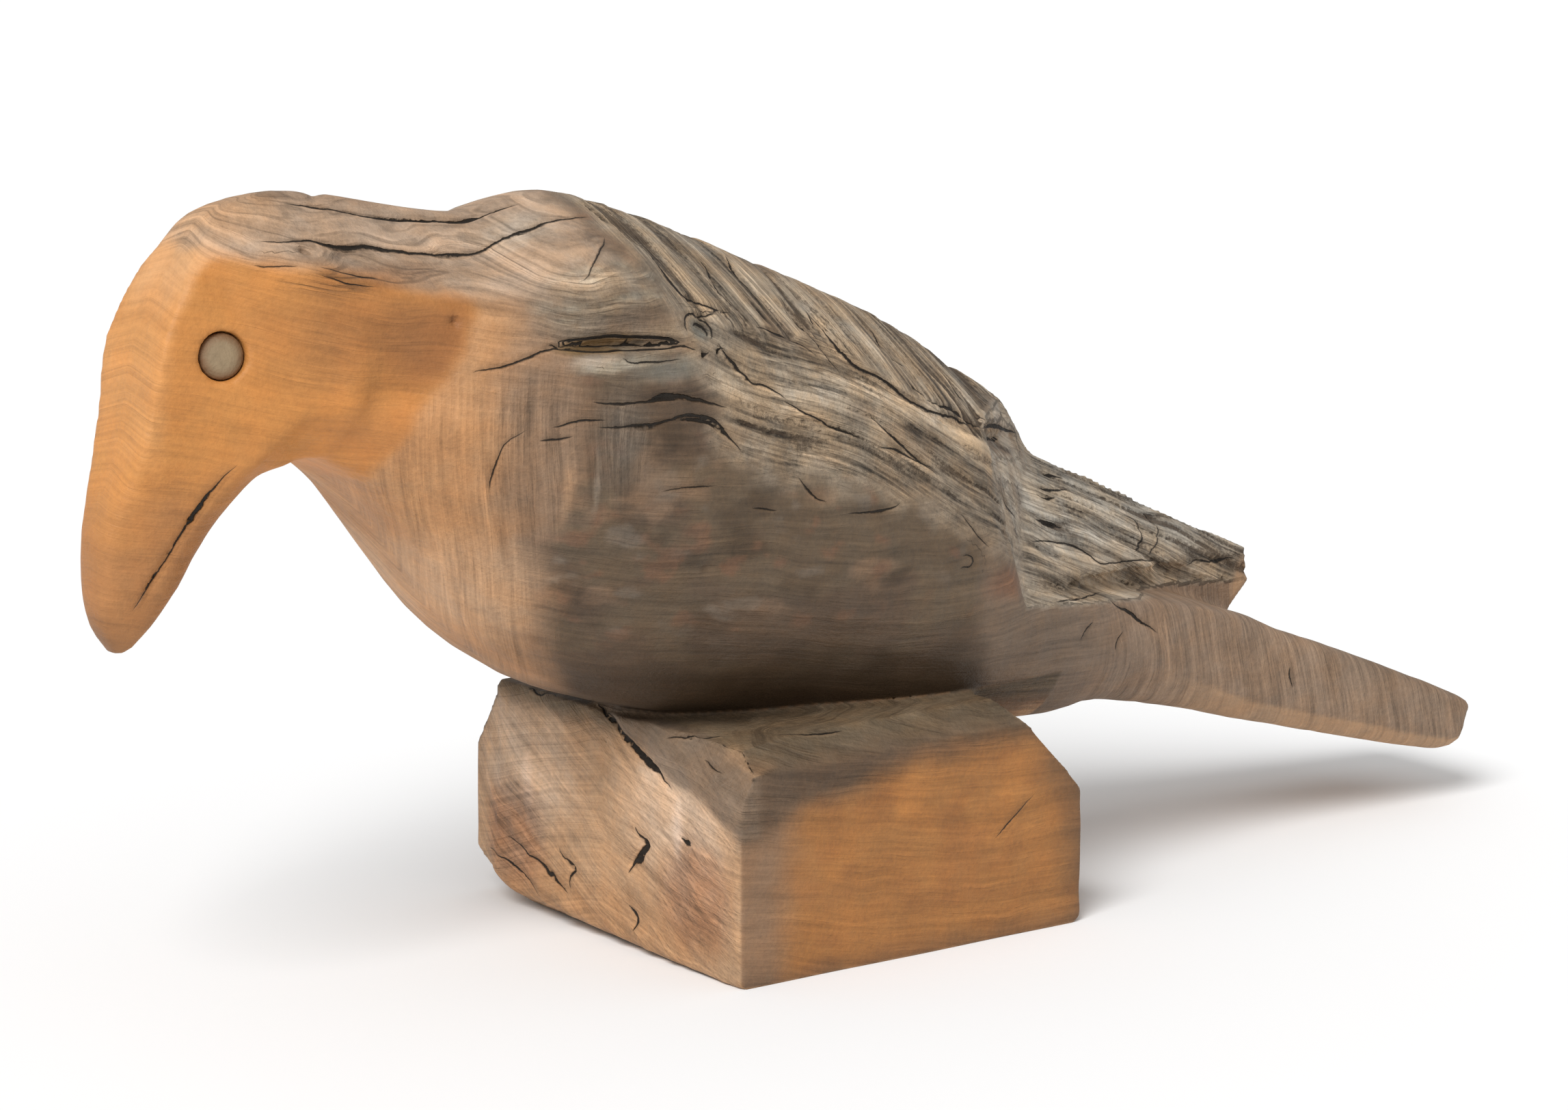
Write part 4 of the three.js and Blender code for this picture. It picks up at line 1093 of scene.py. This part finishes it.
class Graph:
    """A material's node tree, with one way to add any node."""

    def __init__(self, name: str) -> None:
        """Starts an empty material called name."""
        self.material = bpy.data.materials.new(name)
        self.material.use_nodes = True
        self.tree = self.material.node_tree
        self.tree.nodes.clear()

    def node(self, kind: str, settings: Dict[str, Any], sockets: Dict[Any, Any]) -> bpy.types.Node:
        """Adds a node.

        Args:
            kind: the node's type name.
            settings: properties of the node, set first.
            sockets: a value or a link for each input, by name or number.

        Returns:
            The node.
        """
        made = self.tree.nodes.new(kind)
        for key, value in settings.items():
            if key == "stops":
                self.set_stops(made, value)
            else:
                setattr(made, key, value)
        for key, value in sockets.items():
            if isinstance(value, Wire):
                self.tree.links.new(value.socket, made.inputs[key])
            else:
                made.inputs[key].default_value = value
        return made

    def set_stops(self, ramp_node: bpy.types.Node, stops: Sequence[Tuple[float, Any]]) -> None:
        """Sets a colour ramp's stops, each a place and a grey or colour."""
        elements = ramp_node.color_ramp.elements
        while len(elements) < len(stops):
            elements.new(1.0)
        for element, (place, colour) in zip(elements, stops):
            element.position = place
            rgb = (colour,) * 3 if isinstance(colour, (int, float)) else colour
            element.color = (*rgb, 1.0)

    def wire(self, kind: str, settings: Dict[str, Any], sockets: Dict[Any, Any], output: Any = 0) -> "Wire":
        """Adds a node and gives one of its outputs."""
        return Wire(self, self.node(kind, settings, sockets).outputs[output])

    def attribute(self, name: str) -> Tuple["Wire", "Wire", "Wire"]:
        """The three numbers kept under a name, as wires."""
        vector = self.wire("ShaderNodeAttribute", {"attribute_name": name}, {}, "Vector")
        parts = self.node("ShaderNodeSeparateXYZ", {}, {0: vector})
        return tuple(Wire(self, parts.outputs[i]) for i in range(3))

    def noise(self, place: "Wire", scale: float, detail: float = 2.0, rough: float = 0.55) -> "Wire":
        """Noise from 0 to 1 at a place."""
        sockets = {"Vector": place, "Scale": scale, "Detail": detail, "Roughness": rough}
        return self.wire("ShaderNodeTexNoise", {"noise_dimensions": "3D"}, sockets, "Fac")

    def noises(self, place: "Wire", scale: float, detail: float, rough: float) -> Tuple["Wire", "Wire", "Wire"]:
        """Three independent noises about 0 at a place."""
        sockets = {"Vector": place, "Scale": scale, "Detail": detail, "Roughness": rough}
        colour = self.wire("ShaderNodeTexNoise", {"noise_dimensions": "3D"}, sockets, "Color")
        parts = self.node("ShaderNodeSeparateColor", {}, {0: colour})
        return tuple(Wire(self, parts.outputs[i]) - 0.5 for i in range(3))

    def vector(self, x: Any, y: Any, z: Any) -> "Wire":
        """A vector of three numbers or wires."""
        return self.wire("ShaderNodeCombineXYZ", {}, {0: x, 1: y, 2: z})

    def mix(self, share: Any, first: Any, second: Any, blend: str = "MIX") -> "Wire":
        """A colour between two, at a share."""
        settings = {"data_type": "RGBA", "blend_type": blend, "clamp_factor": True}
        colours = {6: self.rgba(first), 7: self.rgba(second), 0: share}
        return self.wire("ShaderNodeMix", settings, colours, 2)

    def rgba(self, colour: Any) -> Any:
        """A colour as a socket takes it."""
        return colour if isinstance(colour, Wire) else (*colour, 1.0)

    def step(self, value: "Wire", start: float, end: float) -> "Wire":
        """Smooth step from 0 at start to 1 at end."""
        sockets = {"Value": value, 1: start, 2: end, 3: 0.0, 4: 1.0}
        return self.wire("ShaderNodeMapRange", {"interpolation_type": "SMOOTHSTEP", "clamp": True}, sockets)


class Wire:
    """A number or colour on its way through the nodes; sums on it add Math nodes."""

    def __init__(self, graph: Graph, socket: bpy.types.NodeSocket) -> None:
        """Wraps a node's output."""
        self.graph = graph
        self.socket = socket

    def math(self, operation: str, *others: Any) -> "Wire":
        """This and other numbers through a Math node."""
        sockets = {i: value for i, value in enumerate((self, *others))}
        return self.graph.wire("ShaderNodeMath", {"operation": operation}, sockets)

    def __add__(self, other: Any) -> "Wire":
        """Sum."""
        return self.math("ADD", other)

    __radd__ = __add__

    def __mul__(self, other: Any) -> "Wire":
        """Product."""
        return self.math("MULTIPLY", other)

    __rmul__ = __mul__

    def __sub__(self, other: Any) -> "Wire":
        """Difference."""
        return self.math("SUBTRACT", other)

    def __rsub__(self, other: float) -> "Wire":
        """Difference from a number."""
        return self.graph.wire("ShaderNodeMath", {"operation": "SUBTRACT"}, {0: other, 1: self})

    def __truediv__(self, other: Any) -> "Wire":
        """Quotient."""
        return self.math("DIVIDE", other)

    def __abs__(self) -> "Wire":
        """Size without sign."""
        return self.math("ABSOLUTE")

    def high(self, other: Any) -> "Wire":
        """The larger of two."""
        return self.math("MAXIMUM", other)

    def low(self, other: Any) -> "Wire":
        """The smaller of two."""
        return self.math("MINIMUM", other)


@dataclass(frozen=True)
class OldTimber:
    """Finish of the carving: worn, hand-darkened and weathered wood, with painted shade in the open cracks and a
    painted highlight on their lower lips.

    Attributes:
        name: the material's name.
        crack_shade_colour: painted shade inside the open cracks, near black.
        line_colour: the dark hairlines between fibres.
        narrow: share of a crack's width that is open at the surface.
        crack_depth: depth of an open crack, in millimetres.
    """

    name: str = "weathered_wood"
    crack_shade_colour: Colour = (0.014, 0.009, 0.005)
    line_colour: Colour = (0.055, 0.034, 0.019)
    narrow: float = 0.36
    crack_depth: float = 0.6

    def make(self) -> bpy.types.Material:
        """Builds the material."""
        g = Graph(self.name)
        place = g.wire("ShaderNodeTexCoord", {}, {}, "Object")
        tone = g.wire("ShaderNodeAttribute", {"attribute_name": "tone"}, {}, "Vector")
        streak, hair, _ = g.attribute("feel")
        edge, splinter, weathered = g.attribute("worn")
        open_crack, stain, lip = self.cracks(g, place)
        wave, lines, pale = self.fibres(g)
        blotch, hue, speck = g.noises(place, 110.0, 5.0, 0.62)
        fine = g.noise(place, 900.0, 3.0, 0.7) - 0.5
        rough_share = (0.3 + 0.9 * streak).low(1.1)
        edge = edge + fine * 0.5
        groove = g.step(edge, 0.5, 0.12)
        shade = 1.0 + wave * streak * 1.7 + splinter * 0.35 - g.step(edge, 1.2, 0.2) * 0.22
        shade = (shade + blotch * 1.1 * rough_share + fine * 0.8 * rough_share).high(0.12)
        colour = g.mix(1.0, tone, g.vector(shade, shade, shade), "MULTIPLY")
        warmth = g.mix(g.step(hue, -0.16, 0.16), (1.02, 0.93, 0.8), (0.94, 1.0, 1.05))
        colour = g.mix(rough_share * 0.8, colour, g.mix(1.0, colour, warmth, "MULTIPLY"))
        colour = g.mix(pale * streak * 0.6, colour, g.mix(1.0, colour, (1.7, 1.65, 1.6), "MULTIPLY"))
        colour = g.mix((lines * hair).low(1.0) * 0.85, colour, self.line_colour)
        colour = g.mix(stain * 0.3, colour, self.line_colour)
        colour = g.mix(groove * 0.8, colour, self.line_colour)
        # painted highlight on the lower lip of each crack
        colour = g.mix(lip * (0.25 + streak * 0.5), colour, g.mix(1.0, colour, (1.6, 1.55, 1.5), "MULTIPLY"))
        # painted shade: near black in the open middle of each crack
        colour = g.mix(open_crack, colour, self.crack_shade_colour)
        height = wave * streak * 0.5 + pale * streak * 0.25 - lines * hair * 0.3 + fine * rough_share * 0.45
        height = height + blotch * 0.5 - open_crack * self.crack_depth - groove * 0.45 + lip * 0.15
        bump = g.wire("ShaderNodeBump", {}, {"Strength": 1.0, "Distance": MM, "Height": height}, "Normal")
        rough = (0.5 + 0.3 * streak + 0.3 * blotch).low(0.92)
        shader = g.wire(
            "ShaderNodeBsdfPrincipled",
            {},
            {"Base Color": colour, "Roughness": rough, "Normal": bump, "Specular IOR Level": 0.3},
        )
        g.node("ShaderNodeOutputMaterial", {}, {"Surface": shader})
        return g.material

    def cracks(self, g: Graph, place: Wire) -> Tuple[Wire, Wire, Wire]:
        """Where the cracks are open, where the wood beside them is stained, and where their lower lip catches light."""
        sides = g.attribute("crack_side")
        widths = g.attribute("crack_width")
        waver = (g.noise(place, 420.0, 3.0, 0.6) - 0.5) * 0.5
        open_all = stain_all = lip_all = None
        for side, width in zip(sides, widths):
            edge = abs(side + waver) - width * self.narrow
            there = g.step(width, 0.03, 0.16)
            inside = g.step(edge, 0.1, -0.08) * there
            stain = g.step(edge, 1.1, 0.0) * there
            open_all = inside if open_all is None else open_all.high(inside)
            stain_all = stain if stain_all is None else stain_all.high(stain)
            below = (side + waver) * -1.0 - width * self.narrow
            lip = g.step(below, 0.05, 0.25) * g.step(below, 1.2, 0.4) * there
            lip_all = lip if lip_all is None else lip_all.high(lip)
        return open_all, stain_all, lip_all

    def fibres(self, g: Graph) -> Tuple[Wire, Wire, Wire]:
        """The fibres' lightness about 0, their dark hairlines, and the pale ones that stand proud."""
        wave: Any = None
        lines: Any = None
        pale: Any = None
        for layer, (name, pitch) in enumerate((("fibre_back", 1.0), ("fibre_level", 1.1), ("fibre_upright", 1.0))):
            across, along, amount = g.attribute(name)
            coarse = self.drawn_out(g, across, along, pitch * 3.0, pitch * 46.0, layer + 0.1)
            fine = self.drawn_out(g, across, along, pitch * 0.8, pitch * 16.0, layer + 0.4)
            part = (coarse[0] * 1.8 + fine[0] * 1.6) * amount
            thin = g.step(abs(coarse[1]), 0.03, 0.004) + 0.7 * g.step(abs(fine[1]), 0.045, 0.0) * g.step(
                coarse[2], -0.05, 0.1
            )
            light = g.step(coarse[2] + fine[2] * 0.8, 0.08, 0.2)
            wave = part if wave is None else wave + part
            lines = thin * amount if lines is None else lines + thin * amount
            pale = light * amount if pale is None else pale + light * amount
        return wave, lines, pale

    def drawn_out(
        self, g: Graph, across: Wire, along: Wire, pitch: float, length: float, layer: float
    ) -> Tuple[Wire, Wire, Wire]:
        """Three noises about 0 that are drawn out along the fibres."""
        return g.noises(g.vector(across / pitch, along / length, layer * 7.0), 1.0, 3.0, 0.6)


@dataclass(frozen=True)
class GreyPeg:
    """Finish of the eye pegs: end grain gone grey, darker towards the rim.

    Attributes:
        name: the material's name.
        middle: the near peg's middle, in millimetres.
        axis: the way it looks.
        radius: its radius.
    """

    name: str = "grey_peg"
    middle: Point = (-157.6, -14.0, 148.6)
    axis: Point = (-0.24, -0.963, 0.11)
    radius: float = 5.0

    def make(self) -> bpy.types.Material:
        """Builds the material."""
        g = Graph(self.name)
        place = g.wire("ShaderNodeTexCoord", {}, {}, "Object")
        cloudy = g.noise(place, 420.0, 4.0, 0.6)
        near = g.wire("ShaderNodeVectorMath", {"operation": "MULTIPLY"}, {0: place, 1: (1.0, 1.0, 1.0)})
        parts = g.node("ShaderNodeSeparateXYZ", {}, {0: near})
        folded = g.vector(Wire(g, parts.outputs[0]), abs(Wire(g, parts.outputs[1])) * -1.0, Wire(g, parts.outputs[2]))
        off = g.wire("ShaderNodeVectorMath", {"operation": "SUBTRACT"}, {0: folded, 1: tuple(c * MM for c in self.middle)})
        turned = g.wire("ShaderNodeVectorMath", {"operation": "CROSS_PRODUCT"}, {0: off, 1: self.axis})
        out = g.wire("ShaderNodeVectorMath", {"operation": "LENGTH"}, {0: turned}, "Value") / (self.radius * MM)
        rim = g.step(out + (cloudy - 0.5) * 0.5, 0.45, 1.0)
        grey = g.mix(cloudy, (0.17, 0.115, 0.06), (0.36, 0.26, 0.15))
        colour = g.mix(rim * 0.85, grey, (0.15, 0.068, 0.024))
        bump = g.wire("ShaderNodeBump", {}, {"Strength": 1.0, "Distance": MM, "Height": cloudy * 0.5}, "Normal")
        shader = g.wire(
            "ShaderNodeBsdfPrincipled",
            {},
            {"Base Color": colour, "Roughness": 0.55 + 0.2 * cloudy, "Normal": bump},
        )
        g.node("ShaderNodeOutputMaterial", {}, {"Surface": shader})
        return g.material


# Surroundings


@dataclass
class Studio:
    """Camera, light and floor.

    Attributes:
        camera_at: the lens, in millimetres.
        azimuth: degrees the view is turned off square to the bird's side.
        elevation: degrees it looks down.
        lens: focal length for a 36 mm wide frame.
        floor_tone: grey of the floor.
    """

    camera_at: Point = (-880.3, -1154.2, 386.8)
    azimuth: float = 37.4
    elevation: float = 11.8
    lens: float = 148.5
    floor_tone: float = 0.9
    sky: float = 0.6

    def set_up(self) -> None:
        """Places everything."""
        self.place_camera()
        self.lay_floor()
        self.light()
        bpy.context.scene.view_settings.view_transform = "Standard"

    def place_camera(self) -> None:
        """The camera at the photograph's angle."""
        turn, tip = math.radians(self.azimuth), math.radians(self.elevation)
        back = Vector((-math.sin(turn) * math.cos(tip), -math.cos(turn) * math.cos(tip), math.sin(tip)))
        right = Vector((math.cos(turn), -math.sin(turn), 0.0))
        up = back.cross(right)
        pose = Matrix((right, up, back)).transposed().to_4x4()
        pose.translation = Vector(self.camera_at) * MM
        data = bpy.data.cameras.new("view")
        data.lens = self.lens
        data.sensor_width = 36.0
        camera = bpy.data.objects.new("view", data)
        bpy.context.scene.collection.objects.link(camera)
        camera.matrix_world = pose
        bpy.context.scene.camera = camera

    def lay_floor(self) -> None:
        """A plain pale floor, wide enough to meet the air behind."""
        bpy.ops.object.select_all(action="DESELECT")
        bpy.ops.mesh.primitive_plane_add(size=60.0, location=(0.0, 0.0, 0.0))
        floor = bpy.context.object
        floor.name = "floor"
        g = Graph("pale_floor")
        tone = self.floor_tone
        shader = g.wire(
            "ShaderNodeBsdfPrincipled",
            {},
            {"Base Color": (tone, tone, tone, 1.0), "Roughness": 0.9, "Specular IOR Level": 0.0},
        )
        g.node("ShaderNodeOutputMaterial", {}, {"Surface": shader})
        floor.data.materials.append(g.material)

    def light(self) -> None:
        """Soft light from all round and a broad lamp above on the left."""
        world = bpy.data.worlds.new("air")
        world.use_nodes = True
        world.node_tree.nodes["Background"].inputs["Color"].default_value = (1.0, 1.0, 1.0, 1.0)
        world.node_tree.nodes["Background"].inputs["Strength"].default_value = self.sky
        bpy.context.scene.world = world
        self.sun((-0.62, -0.38, 0.69), 2.5, 28.0)

    def sun(self, towards: Point, power: float, spread: float) -> None:
        """A broad even light that comes from one way, its spread in degrees."""
        data = bpy.data.lights.new("key", "SUN")
        data.energy = power
        data.angle = math.radians(spread)
        lamp = bpy.data.objects.new("key", data)
        bpy.context.scene.collection.objects.link(lamp)
        lamp.location = towards
        lamp.rotation_euler = (-Vector(towards)).to_track_quat("-Z", "Y").to_euler()


def dress(obj: bpy.types.Object, material: bpy.types.Material) -> None:
    """Gives an object its one finish."""
    obj.data.materials.clear()
    obj.data.materials.append(material)


def main() -> None:
    """Builds the carving and its surroundings."""
    logging.basicConfig(level=logging.INFO, format="%(name)s: %(message)s")
    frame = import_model()
    timber = OldTimber().make()
    peg = GreyPeg().make()
    bird = CarvedBird().build(frame)
    dress(bird, timber)
    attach(bird, "root")
    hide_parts("carved_bird_on_block")
    LOG.info("carving is in place")
    for name in ("eye_peg_left", "eye_peg_right"):
        dress(frame["nodes"][name], peg)
        LOG.info("%s is dressed", name)
    Studio().set_up()


if __name__ == "__main__":
    main()
